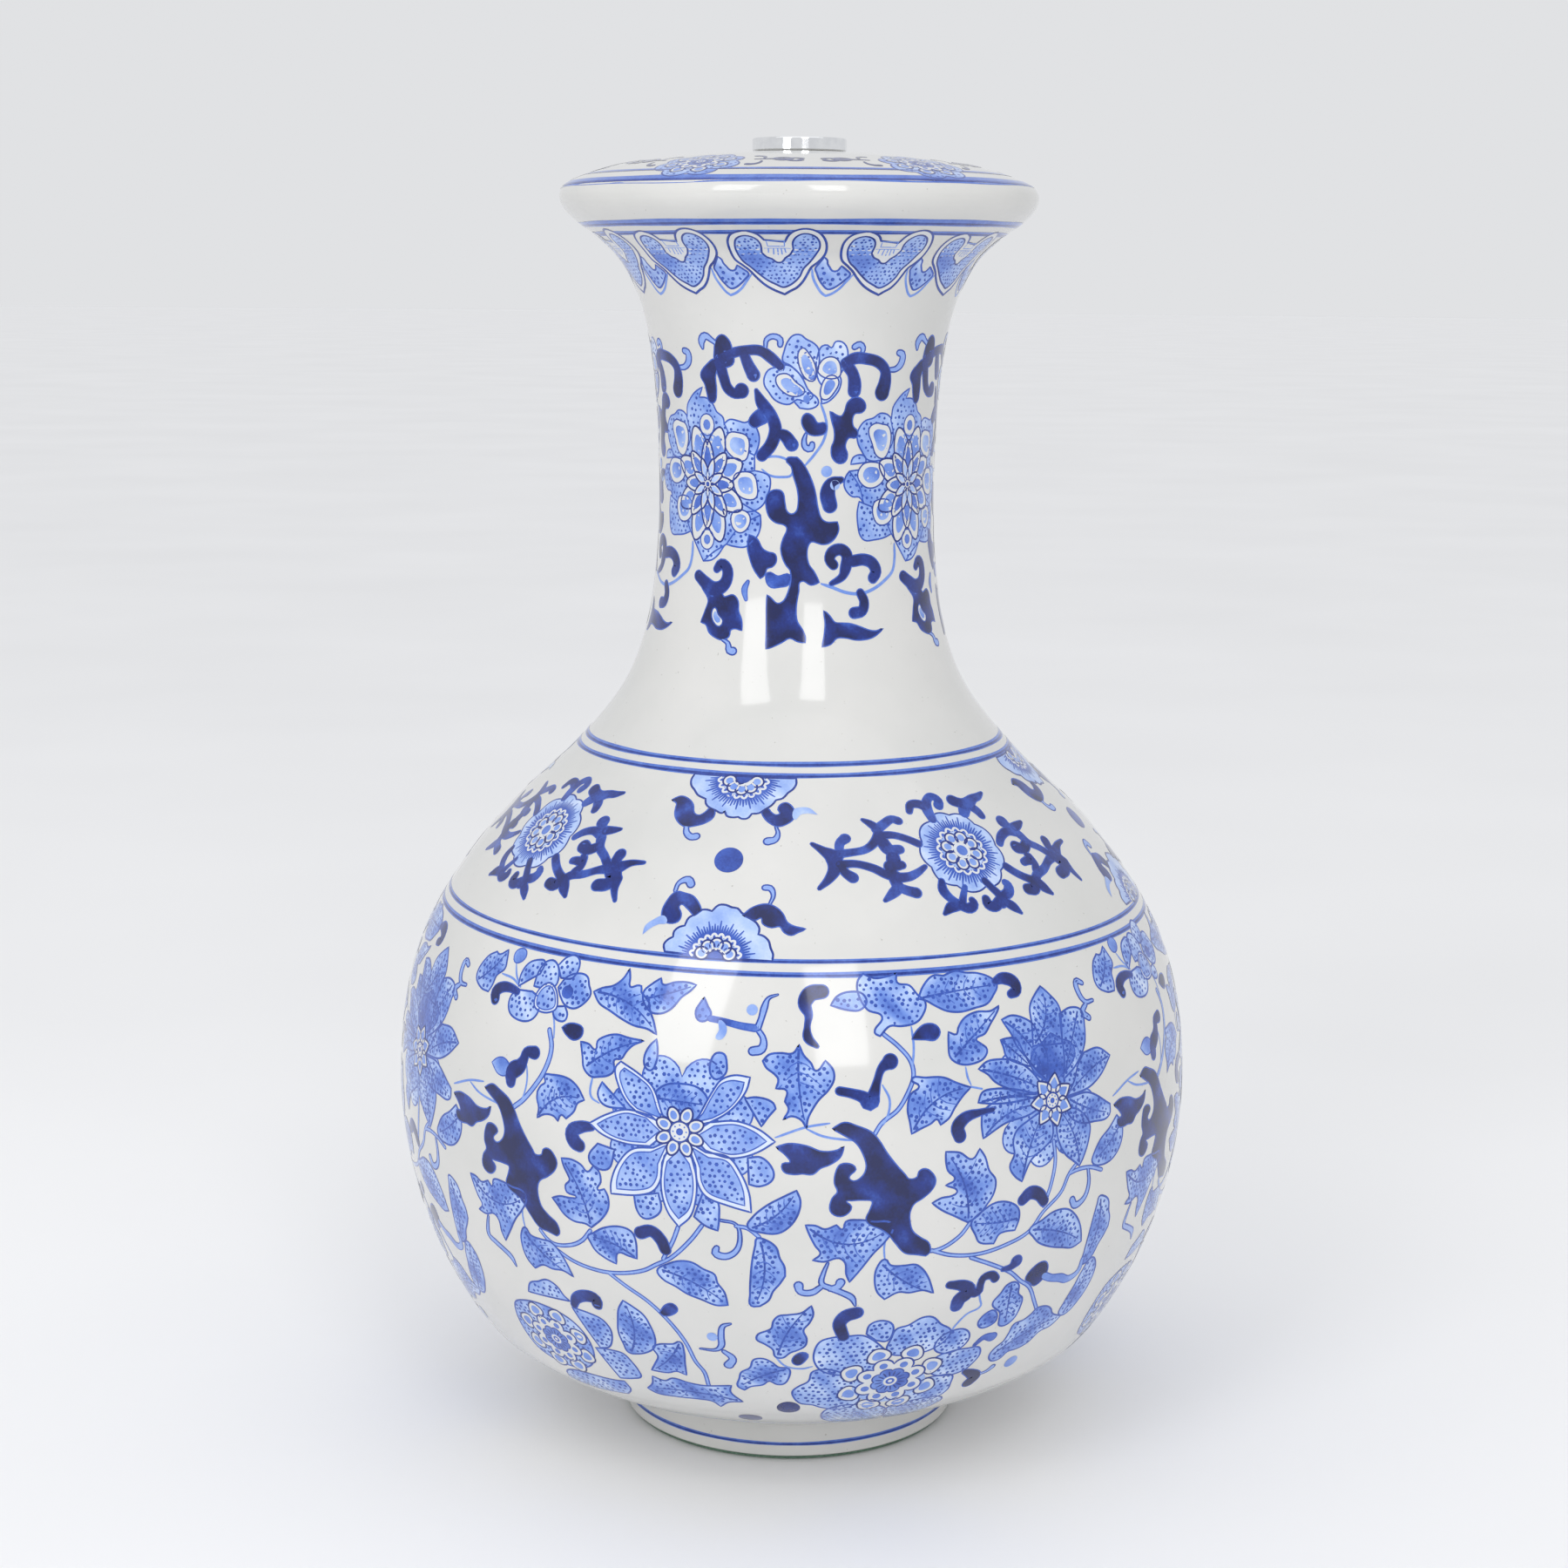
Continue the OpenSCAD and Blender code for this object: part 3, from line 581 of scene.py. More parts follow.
# first kind of belly group
BELLY_A = f"""
blot .55: -46 166.5 -45.3 167.8 -44 167.7 -43.6 166.3 -44.3 164.7 -45.5 164.5
line .7: -45 164, -44 161, -42.5 158.5
line .7: -47.2 160.5, -44.5 160, -42.5 158.3
leaf .35: -52 163.5 -50.3 165.5! -49.5 165 -47.8 166.8! -47.3 164.5 -47 162 -48.3 159.5 -48.5 157
    -49 154.8! -51 155.2 -53 158
brush .9: -42.8 157 1.6, -44.5 157.5 2.2, -46.3 157 3, -47.3 155.3 3.6, -47 153.6 3.2
leaf .25: -43 158.5! -43.2 162 -42.5 164.8 -40.8 166.3 -39.4 166.2 -39.5 163!
leaf .25: -40 159.5! -40 163 -39.3 166 -38 167 -36.8 166 -36 163.5 -36 161 -37.5 159.3!
leaf .25: -36.7 166! -35.7 168.3 -34.3 169.3 -33.2 168.3 -32.9 165.5 -33.5 163.5 -35.5 163!
leaf .25: -35.5 160.5! -34.5 163.5 -32.5 165 -31 164.5 -30.3 162.3 -29.7 160.3 -30.5 157.5 -32 155.8
    -33.7 156.5 -34.8 158.5!
leaf .25: -43.3 157.5! -44 154.5 -43.5 151.5 -41.5 149.8 -39 150.5 -38 153 -38.3 156.5 -40 158!
leaf .25: -35.6 155.3! -35 152.8 -34 151.9 -33 152.3 -32.8 154 -33.5 156!
blue .7: -34.4 158.5 -34.6 160.5 -33.6 161.5 -32.7 160.3 -33 158.3
double .3: -38.9 154.5 -39.1 157.5 -38.4 160 -37.2 161.2 -36 160.2 -35.2 158 -34.9 155 -36 153.6
    -37.8 153.4
blot .9: -33.2 150.3! -32.3 151.5 -31 151.8 -29.9 151 -29.9 149 -31 147.7 -32.2 148.6
vine 1.5: -35.3 149, -34.5 145, -34.5 142, -35.3 137, -36.5 133, -38.5 128, -40 125.5
line .6: -38.3 138, -38 134, -38.3 130, -39 126.5
line .6: -35.5 154.5, -34.7 151, -34.3 147
leaf .35: -29.3 161! -28 162.3 -26.3 163.3 -25 165.5 -24.4 168! -24 165.8 -23.7 163.5 -22.7 164! -22
    164 -21.8 162.5 -20.5 160.5 -20 158 -19.3 155.5 -18.6 152! -20 153.2 -22 153.7 -24 155 -26 156.7
    -28 158.3
leaf .35: -21.5 162.3 -20.3 165 -19.2 166.5! -18.8 165 -17 165.8 -15 166 -13.8 165.5! -14.5 164
    -15.8 162 -16.5 160 -17.3 158.5 -18.5 157.5 -20 157.8
leaf .35: -29.8 147.5! -28.5 147.2 -27.3 146 -27.2 148.3 -26.3 149.7 -24.5 150.8 -22.5 150.3 -20.3
    150! -21.8 148.5 -22.7 146.5 -23.3 144.5 -24.3 144 -24.2 141 -25 139.5 -26.3 138.8 -27.5 138.5
    -28.8 140.5 -29.2 143.5
leaf .3: -18.5 150.8! -19.5 148.5 -20 145.5 -19.7 143 -18.9 142.3 -18.2 145 -18.2 148
leaf .35: -36 131.5! -35.5 133.3 -34.8 134.5 -35 136.5 -34 137 -31 136.8 -29.5 135 -28.3 131.7!
    -29.3 130.5 -29.8 128 -31 125.5! -31.8 126.3 -32.3 124.3! -33 125.5 -34.5 125.5 -35.8 124! -35.6
    127 -36 129.5
blot .55: -45 136.2! -44 137.8 -42.7 138.2 -41.6 136.5 -42 134 -43.5 133.7
brush .9: -37.2 142 3.4, -38.7 141.5 2.6, -39 139.5 2.8, -39.5 137.5 4, -41 135 4.6, -41 132.5 3.4
leaf .45: -12.4 162.5! -11.8 160.5 -11.2 158.3 -12 156.5 -13 156.8 -13.4 159 -12.9 161
brush .7: -11.3 157.3 1.2, -9.5 156.8 1.2, -7 155.8 1.4, -5 155.3 1.6
blue .35: -10 157 -9.3 156.5 -8.8 154.5 -9.5 152 -10.3 152.2 -9.9 154.5
hook: -2 164 .6, -3.3 163 1.2, -3.8 160.8 2, -4.2 157.8 1.8, -4.6 155.5 2
spot .4: -5.5 160 1.6
hook: -4.6 155 1.6, -3.8 152.5 1.8, -4 150 2.6, -5.2 149.3 2.6
leaf .35: -3.8 146.8! -3 148.5 -1.5 149 .2 149 1 151.2! 1.6 148.5 2.6 146.3 3.2 144.3 4.5 147! 5.5
    144.5 5.6 142 4.8 139 3.6 136.5 2.8 134 2.2 131.5 2 128.7! 1.3 131 0 132 -1 131! -.3 134 -.8
    136! -.6 139 -2 139.5! -1.7 142 -2.3 143.5 -3.3 145
leaf .3: -10.3 148 -9 148.2 -8.6 146 -8.7 143 -10.2 141.5
line .7: -2 126, 2 129, 5 130
line .7: 2 128.5, 4 126.5, 8 125
line .7: -27.3 139, -27.3 133, -26 131.5
leaf .3: -6 136.5! -4.5 137 -2.3 135.5 -2 134! -3 131.5 -3.8 129!
leaf .3: -5.5 120! -3.8 120.3 -2.2 116.5 -2.3 114 -4 112 -5.3 112.5!
leaf .3: -11.3 109.5! -9.5 107.5 -9.2 102 -9.4 98.3! -11 99.5 -12.5 102!
leaf .3: -20.7 106.5! -20.3 102 -19.5 100 -18.3 100.3 -17 103 -17.3 108!
leaf .3: -26 120! -27.3 116 -27 114 -24.5 113 -23.5 119!
leaf .3: -25.8 137.5! -26.3 134 -25.5 131.5 -22 131!
leaf .35: -17.5 131 -18.3 135 -17 138.5 -14.5 139.5 -12 138.5 -10.8 135 -11.5 131
base .36: -14.5 126.2 22 8 .3
double .25: -12 131! -10.3 138 -9.2 141.3 -7.5 142.7 -5.4 142.3! -5.8 139 -7 135 -8.5 132 -10.5
    129.5! -13.2 127.8!
double .25: -17 131! -18.5 138 -20.5 141 -23.3 143.8! -24 142 -23.3 137 -22 133 -20.5 130.5! -16.2
    128!
double .25: -10.5 129.5! -7 130.2 -4 128 -2 124.8! -4 122 -6 120.3 -8 119.8 -11 121.5! -13 125.9!
double .25: -18.5 130! -22 130.8 -25 128.5 -27.3 125.5! -25.5 123 -22 121.2 -18.5 121.3! -16.1 126!
double .25: -11 121! -8 120 -6.5 116 -5.3 110 -5 104.3! -8 106 -11 108.5 -12 112 -12.3 117! -13.6
    124!
double .25: -18 121! -21 119.8 -23 115 -24 109 -24 106! -20 106.8 -18 108.5 -17 112 -16.8 117! -15.4
    124!
double .25: -16.5 119! -16.9 114 -16.8 108 -16 102.5 -14.6 98.5! -13 102 -12.2 108 -12.2 114 -12.8
    119! -14.5 123.6!
flower .1: -14.5 126.2 2.9 8 4.6
trunk: {TRUNK}
blot .92: {TRUNK_LEAF}
leaf .35: {BROAD_LEAF}
leaf .35: {LOW_LEAF}
line .6: -38.8 97, -39 93, -38.8 89
leaf .35: -31.6 113.8! -30 114 -28.5 113 -27.5 111.3 -26.6 113.3! -25.8 112 -25.5 109 -26 106.5 -25
    107! -24.5 105 -24.5 101.5 -25.5 98 -27.3 94.5! -28 95.3 -30 95.5 -31.5 97 -32.5 99.5 -33.3
    101.3! -32 102.3 -30 102.5 -29.3 103 -30.8 104 -31 106 -30.3 107.8 -30.5 109 -31.2 111.5
leaf .35: -28 91.5 -27 93 -25.5 95 -23 96.3 -21.3 95.3 -20.8 93 -20.8 87! -22 87.5 -23.5 88 -24
    84.3! -25.5 85.5 -27 87.5 -27.7 90
leaf .35: -5.5 100 -4.8 103 -3 106.5 -1 109 .8 111! 1.3 108 1 104 0 100.5 -1.5 98.3 -3.5 98.3
leaf .35: {LONG_LEAF}
leaf .35: -18 84 -16.5 86.5 -14.5 88 -13 87.8 -11.5 86 -10 84.5 -9.7 82 -8.8 79 -8.4 74.8! -10 74.5
    -12 76 -14 77.5 -15.5 79.5 -17.3 81.5
brush .9: -27 124.5 2, -28.5 124 3, -30 122 3.8, -29.5 119.3 4, -28.8 118.5 3.4
brush .9: -16.6 91 3, -17.2 94 3.2, -18.5 96.3 3.2, -20 95.3 3.4
hook: -9 101.5 1, -7 100.5 1, -6.5 97 1.4, -7 92.5 1.8, -8.5 90.5 2.2, -9.8 91.5 2.4, -9.6 93 1.8
hook: {TENDRIL}
vine 1.2: -36 90, -35 87.8, -34 86.7, -31 87.5, -29 89.8, -27.5 93.5
vine 1.2: -34 85.5, -31 82.5, -27 81, -24 81.3, -20 83.5, -18 86, -16 88.5, -13 95, -11.5 99.5
vine 1.2: -17 88, -15.5 94, -14.7 98.5
vine 1.2: -25.3 80.8, -23 77.5, -20 73.5, -18 69.5, -16 64, -15 60, -14 53.5, -13 50, -12.7 45
vine 1.2: -7 100, -5.5 99.5, -4 97
leaf .28: -41.3 67! -40.3 70.5 -38.5 72 -36.5 73.5 -34.8 72 -34 69.5 -33 68!
leaf .28: -33 66! -30 65.3 -28 64 -27 61 -27.3 57 -28.3 54 -30 53!
leaf .28: -31 52.5! -28 53 -26 52.5 -25 50 -24.3 47 -24.2 44.5 -26 43 -28.5 42!
leaf .28: -28 41! -27.5 38 -29 35! -33 34 -38 33 -42 35
leaf .3: -46 60 -43 63 -38 63.5 -34 61 -32 56 -32 49 -34 44 -38 41.5 -43 42 -46 45
peony: -39 51.5 9 9 8
brush .9: -32.5 67 2, -31.8 69.5 3, -30 71.3 3.6, -28.3 70.8 3.6, -28.3 69 3
leaf .35: -23.8 72.3! -22.5 70.8 -21 68.5 -20.2 65 -19.8 60.5 -20.3 57 -21.5 55 -23.5 53.5 -25 53.5
    -25.4 56.5 -25.7 60.5 -25.3 65 -24.8 69
leaf .35: -20.5 57 -19.5 58.5 -17 59.5 -16 60.5 -15.6 57 -15.8 53 -16 48! -17.5 49 -19 48 -21.8 48!
    -20.8 51 -20 54
leaf .35: -22 45.5! -20 44.5 -18.5 46 -16 45 -13.5 44.5 -11 45 -9 45.5! -9.3 43 -7.5 39! -10 38.3
    -11.5 36! -12.5 38 -15 38.5 -19 38.3 -22.5 38.5 -23.8 40! -22.5 42.5
blot .9: -18.3 70! -17.3 72.8 -16.3 73.5 -15.7 72 -16.3 70.3 -17.8 69.3
hook: -8.2 68.5 .8, -9.3 67.5 1.6, -9.7 64 2, -9.8 60.5 2, -10.5 59 1.4, -13 58.8 .8
spot .4: -11 63.5 1.6
hook: -9.5 58.5 1.6, -8.3 56 2.4, -9 53.5 3
leaf .35: 3 75.3! 3.3 72.5 2.8 69.5 2 67 2.5 64 2.3 61.5 1.3 60 .2 59 -1 57 -2 57.5 -2.3 60 -3.5 62
    -4.6 63.5 -4.4 65.3 -3.3 66.5 -2.5 67.5 -2.2 70 -1.5 71.8 0 72.3 1.7 73
line .7: -2 57.5, -.5 54, 2 53, 3.5 53.8
leaf .35: -5.8 53 -5.2 56 -3.8 56.6 -2.5 55.3 -1.5 53.5 0 53 0 49.5 -.8 47 -1.8 46.8 -3 48 -4 46.5
    -6 45.5 -7 44! -8 45.5 -7.6 48.5 -7.2 51
spot .92: 0 37 3.4
spot .92: -7 30 3.5
"""

# its side next to the other kind, which the back needs once more
BELLY_EDGE = """
brush .92: 4.2 164.8 3.6, 2.6 164.3 4, 1.8 161.8 3.4, 2.3 158.8 1.8, 2.1 156 1.2, 2.2 153 2.2, 3.4
    150.8 .8
leaf .3: 5.4 161.3! 6.3 163.5 8 164.6 10 164 10.5 162 9.5 160 7.8 160
leaf .3: 9.3 164.8 9.5 167.5 10.3 169! 12 167.8 13.5 168 15.3 168.8! 15.2 166.5 17 165.5 18 163 19
    161 18 157 17 155.8 15 155.3 13.5 155.5 12 153! 11.3 154 12.5 158 10.5 160
blot .88: 16.5 151.8! 17.3 153.8 18.5 155.2 20 154.8 20.5 153 19.7 151.2 18.3 151.5
brush .9: 6.3 138.8 2, 8 138 2.2, 9.5 136.8 3, 10.3 135.3 4, 10.8 137.5 3, 11.3 141 1.8, 12 144.5 2,
    13.2 146.2 4
vine 1.2: 12.5 153.5, 14.5 150, 16 146, 16.3 142, 15.3 137, 14 133, 11.8 129.5, 10.7 126
line .7: 16.5 155, 16.6 150, 16.3 145
line .7: 12 140, 12.9 136, 12.7 132, 12 129
hook: 6.3 109.5 1.8, 6.2 107 2.4, 6.8 105 3
hook: 4.2 81.5 1.8, 3 79.7 2.2, 1.5 80 2.2, 1.2 82 2.8
hook: 5.5 80.8 2, 6.5 81.5 2.4, 6.8 82.8 2.8
blot .92: .6 55.5 .8 57.5 2 59 2.7 58.3 2.3 56 1.3 54.5
brush .9: 9.3 72.5 3.6, 7.8 71.5 3.8, 7 69 3.4, 7.3 66.5 3.2, 7.7 64.5 3
"""

# second kind of belly group; +51.43 moves a shape by one group
BELLY_B = f"""
leaf .35: 18 162! 19 165 20.8 167.5 22.5 167.3! 24.5 168.2 26 167.5 28 167 30.3 165 30.8 163.5 29.8
    161 28.5 159 26.5 158.3 24 157.7 22 158.3 20.3 160 19 161.5
brush .9: 30.5 164.3 1.5, 32 164.8 3, 33.8 163.3 3.4, 33.8 161.3 3, 32.7 160.5 2
leaf .35: 30.3 158! 28.8 157 26.5 157.2 24.5 156 23.3 153.5 23 152 21.8 152.8! 21.6 149.5 21.7 146
    23 144 25 143.7 26.8 145 27.3 147 26.3 149 25.8 150 27.3 151.3 28.3 153.5 30 157
line .7: 23.8 143, 24 140, 24.4 138
leaf .35: 16 141 18 141.2 20.5 140.8 22.3 139 24.3 137.3! 23 135 21.8 132 21 129.5 19.8 127.8! 19.3
    129.5 18.5 128.5 17 127.2 15.8 126! 15.6 129 15.3 133 15.8 137 17 139
line .6: 24.3 137.5, 26 136.5
brush .9: 27.5 130.3 1.2, 25.5 130 1.6, 23.3 129 3, 22.2 126.5 3.6, 22.5 124 3.4
base .36: 36.5 131 20 9 .26
leaf .35: 34.8 146! 35.2 152 35.5 156.5 37 159.5 38.3 161.2! 39.5 158.8 40.8 155 40.5 150 40 145!
leaf .35: 29.6 149! 31 149.2 32 148.8 33 145 34 140.5! 32 142 30.2 144.3 29.9 147
leaf .35: 30.3 154.3! 32 155 33.8 154 35.5 151.5 36 148 37 143 36.5 136! 35 139 33.5 143 32 147 31.5
    150 30.8 152.5
leaf .35: 40.5 153! 43 154 45 152.5 45 148 44.3 143 42 138 39.5 135! 40 140 40.2 147
leaf .35: 25.3 132.8! 26 135.5 28 136 31 135 35.5 132! 31.3 131.5 28 131.8
leaf .35: 25.7 142! 27 143.7 29 143.9 31.3 143 33 141 34.5 138 36 133! 34 133 32 133.5 30 135.5 28
    138 27 140.3
leaf .35: 44 141! 47 141.2 49.5 138! 47 133.5 44.5 131 40 130! 41.5 134 42.5 138
leaf .35: 25.7 127 26 130 28 132.5 30.5 133 34 131.5 35.5 129! 33 127 29.5 126 25.9 122.5!
leaf .35: 40 129.5! 44 129.5 48.7 124! 48.5 121 45 120.5 42 121.5 40 125
leaf .35: 30.5 120 31 123 33 125.5 36 128! 37 124 37 119 35.5 116.5 33.5 114 32.5 110.5 32 108! 30.8
    110 30 113 30.7 116.5
leaf .35: 38.2 127! 40.5 126.5 42.5 124.5 44.2 120 44 116 43 111 42.2 108.5! 41 110.5 39.5 113 38.3
    117 37.8 122
petal .56: 34.8 138 34 141 34.8 144.5 36.5 146.5 38.2 148.5! 40 146.3 41.8 144.5 42.2 141.5 41 138.5
    38.5 135.5 37.5 133! 36.5 135.5
line .7: 36.3 141.5, 36.8 143.5, 38.3 144, 39.8 142.8, 39.7 140.8, 38.3 139.8, 37.5 141
flower .6: 37.2 129.8 2.3 7 5.8
hook: 46.8 159.5 1.6, 45.6 160.3 2, 45.4 157.5 2, 46.3 154.5 1.6, 48 154.3 1.2
hook: 46.3 153.8 1.6, 45.3 152 2.2, 46.3 150 2
+51.43 line .7: -2 126, 2 129, 5 130
+51.43 line .7: 2 128.5, 4 126.5, 8 125
+51.43 trunk: {TRUNK}
+51.43 blot .92: {TRUNK_LEAF}
+51.43 leaf .35: {BROAD_LEAF}
+51.43 leaf .35: {LOW_LEAF}
+51.43 line .6: -38.8 97, -39 93, -38.8 89
leaf .35: 20.5 120! 22.5 119.3 24.3 117 25.4 119.7! 26.2 117 26.8 113 27.8 110 27.6 106 26.5 102.5
    25.5 100 24 98.3! 23 99.5 21.8 101 20.5 102.5 19.5 104 18.7 105.5! 20 106.7 21.5 107 22.2 108
    20.5 110.3! 21.8 111.8 20.8 114.5 20.5 117.5
leaf .35: 24.5 98 26 101 28 103 30 102.5 31.7 100 32 97 31.5 93.3! 30 93.5 29 93 28.3 90.3! 26 91.5
    25.3 94
leaf .35: 44.8 108.5 45.3 111.5 46.5 114.5 48.5 117 50.2 120! 51.5 117 51.5 112 50 108 47.5 106.5
+51.43 leaf .35: {LONG_LEAF}
leaf .35: 34 92.3 36 94.5 38 96.3 40.5 96 42.5 93 44 88.5 44.8 83.5! 43 82.5 41 83.5 38.5 85 36 87.5
    34.8 90
brush .9: 36 100.5 3, 35 103 3.4, 33.5 104 3.6, 32.3 102.3 3
hook: 44 107 1.2, 44.4 102 1.6, 43.8 98 2, 42 96.5 2.4, 41.3 98.5 2.4
+51.43 hook: {TENDRIL}
vine 1.2: 16 96, 18.5 91, 20 91, 23 94.5, 24.3 98
vine 1.2: 19 91, 22 88.7, 26 87.8, 30 89, 34 92, 36 97, 39 102, 40.3 107, 42 110
vine 1.2: 37.3 118, 37.6 112, 37 105, 36 99
vine 1.2: 25 87, 29 83, 32 79.5, 34 76, 36 73, 38 67, 39 64
vine 1.2: 40.3 107, 42 107.5, 44.5 107, 47 105
leaf .25: 3.7 56 3.8 60.5 4.5 63 6.3 64.3 8 64.5 10.5 64.5 12 62.8 13.5 60 14.5 57.5 14 52 10 50 5
    52
leaf .25: 11 65! 11.3 68 12.8 69.3 14.5 68 14.9 65.5 14.2 62 12.5 62.5!
leaf .25: 14.8 63 15.3 65.8 17 66.8 19 69 20.5 68.8 22 66 24 62.5 22.5 58 18 56 14.5 58
leaf .25: 25.5 63 27 61.5 27.5 59 27 56.5 24.5 54.5 22 57 22.5 61
leaf .25: 28 55 30 54.5 30.7 51.5 30 48.5 29 46.5 25.5 45.5 22.5 48 22.5 53 25 55
leaf .25: 27 45 27.3 42 27.3 39 25 35.5 21 34.5 17 36.5 17.5 41 20 44.5 24 46
leaf .25: 3.7 52 3 48 1.5 46 .6 44 1 41 2 39 4 38.3 5.5 37 9 36 11.5 39 11 44 9 50
leaf .25: 6.5 36 6 31 8.5 27 12 25.3 16 26 18 30 16.5 35 12 37.5
leaf .25: 17.5 35 18 29.5 20.5 26 24 26.5 27 30.5 27.3 35.5 24 37 20.5 36.5
blue .35: 10 45 12 50.5 16 52.5 20 50 22 45.5 20 40 16 38 12 40
peony: 16 46.5 10.5 10 8
brush .92: 22.3 79 2, 24.5 78 3.4, 25.5 76 4, 24.2 73.5 4.2, 24 71.5 3.6
brush .92: 25.5 76 3, 27 75 2.4, 27.2 77.5 2, 27.5 79.5 2.2, 28.8 80 2.4, 29.5 78.6 2.4
line .7: 27 76, 27.7 72, 28 70, 26 68, 24.5 64.5, 24 62.5
brush .92: 30.5 81.2 1.2, 31.8 81.5 2, 32.6 83 3.6
blot .92: 36.5 80 38 80.3 38.8 78 38.5 75 37 73 36 74.5 35 76
brush .5: 38.5 75.5 2, 40 74 2, 42 73 2.4, 44 71.5 2, 46 73 1.6, 46.2 77 1
leaf .35: 30 70 31 73 31.8 75.5 33 76 34 74.5 34.3 71.5 35.3 69.5 35.4 66.5 34.8 62.5 33.5 60.8 32.3
    61.5 32 64 31.8 66
leaf .35: 30.5 67.5 29 66.5 28.3 64 29 62 30.5 62 31.5 63.5
brush .7: 29 55.8 1, 30.3 58 1.8, 31.8 57.5 3
leaf .35: 39 64 41 63.8 42.5 62 43.3 60 46 57.5! 44.5 55 42 54 40.5 51 38.5 49.8 36.5 49.5 35.5 47.5
    33.8 47.5 32.8 50 33.3 52.5 34.5 54.5 35 57.5 35.3 60.3 37 61 38.3 62.5
brush .92: 29.3 45.5 2, 30.8 44 3.4, 31.8 42.3 4, 31.2 40.3 4
hook: 32.5 43 1.2, 34 43.5 1.6, 34.8 44.8 2.2
spot .5: 38.7 44.7 2.4
leaf .35: 46.3 68 47 72 48.5 76 50.3 73 50.6 68 49.5 62 47 57.5 45 59 45.3 63
"""


RISE = 0.03
RISES = 30


def draw(plane, text):
    """Draws a block of shapes, each a little above the one before it."""
    entries = []
    for row in text.strip().split("\n"):
        if row.startswith(" "):
            entries[-1] += row
        else:
            entries.append(row)
    for order, entry in enumerate(entries, 1):
        head, numbers = entry.split(":")
        words = head.split()
        plane.shift = 0.0
        if words[0].startswith("+"):
            plane.shift = float(words.pop(0))
        kind, values = words[0], [float(v) for v in words[1:]]
        DRAW[kind](plane, numbers, values, RISE * (order % RISES))
    plane.shift = 0.0


# Every kind of shape takes the numbers after the colon, those before it, and its rise in level.
def draw_blot(plane, text, values, rise):
    """A dark patch with a paler edge."""
    poly = loop(plane, text)
    fill(plane, "navy", poly, 2 + rise, values[0], uneven=0.16)
    stroke(plane, "line", poly, 0.8, 1.2 + rise, 0.7, closed=True)


def draw_trunk(plane, text, values, rise):
    """The darkest patch, the twisted trunk."""
    draw_blot(plane, text, [0.95], rise)


def draw_blue(plane, text, values, rise):
    """A patch of wash without an edge."""
    fill(plane, "wash", loop(plane, text), 2.6 + rise, values[0])


def draw_brush(plane, text, values, rise):
    """A dark stroke with a paler edge."""
    brush(plane, "line", text, 1.3 + rise, 0.7, more=0.7)
    brush(plane, "navy", text, 2.3 + rise, values[0], uneven=0.12)


def draw_hook(plane, text, values, rise):
    """A pale stroke with a dark edge."""
    brush(plane, "line", text, 0.9 + rise, 0.76, more=0.15)
    brush(plane, "wash", text, 1.6 + 0.6 * rise, 0.42, more=-0.8)


def draw_line(plane, text, values, rise):
    """A thin line; the value is its width in mm."""
    line(plane, text, 0.6 + rise, values[0])


def draw_vine(plane, text, values, rise):
    """A pale stem between two dark lines; the value is its width in mm."""
    rows, corners = read(text)
    path = curve_through([plane.at(*r) for r in rows], corners, False)
    stroke(plane, "line", path, values[0] + 0.2, 0.2 + rise, 0.72)
    stroke(plane, "wash", path, values[0] - 0.55, 0.9 + rise, 0.42)


def draw_white(plane, text, values, rise):
    """A bare white patch with a blue heart."""
    poly = loop(plane, text)
    middle = poly.mean(0)
    poly = middle + (poly - middle) * 1.16
    fill(plane, "white", poly, 2.8 + 0.4 * rise, BARE, uneven=0.02)
    stroke(plane, "line", poly, 0.45, 3.5 + 0.4 * rise, 0.78, closed=True)
    fill(plane, "wash", middle + (poly - middle) * 0.62, 3.5 + 0.4 * rise, 0.46, uneven=0.16)


def draw_core(plane, text, values, rise):
    """The oval heart of a petal: angle, height, radius."""
    a, z, r = read(text, 3)[0][0]
    disc(plane, "wash", plane.at(a, z), r * 0.8, 4.6 + rise, 0.55, ry=r)


def draw_spot(plane, text, values, rise):
    """A round dot: angle, height, radius."""
    a, z, r = read(text, 3)[0][0]
    pigment = "navy" if values[0] > 0.7 else "wash"
    disc(plane, pigment, plane.at(a, z), r, 2.4 + rise, values[0])


def draw_lobe(plane, text, values, rise):
    """A small round petal, white with a blue heart: angle, height, radius."""
    a, z, r = read(text, 3)[0][0]
    centre, level = plane.at(a, z), 2.6 + rise
    rim = oval(plane, centre, r, r * 1.15, 0.0, 16)
    fill(plane, "white", rim, level, BARE, uneven=0.01)
    stroke(plane, "line", rim, 0.42, level + 1.1, 0.75, closed=True)
    disc(plane, "wash", centre, r * 0.5, level + 1.4, 0.6, sides=10, ry=r * 1.15 * 0.5)


SMALL_LEAF = 7
VEINS = 5
VEIN_TONE = 0.75


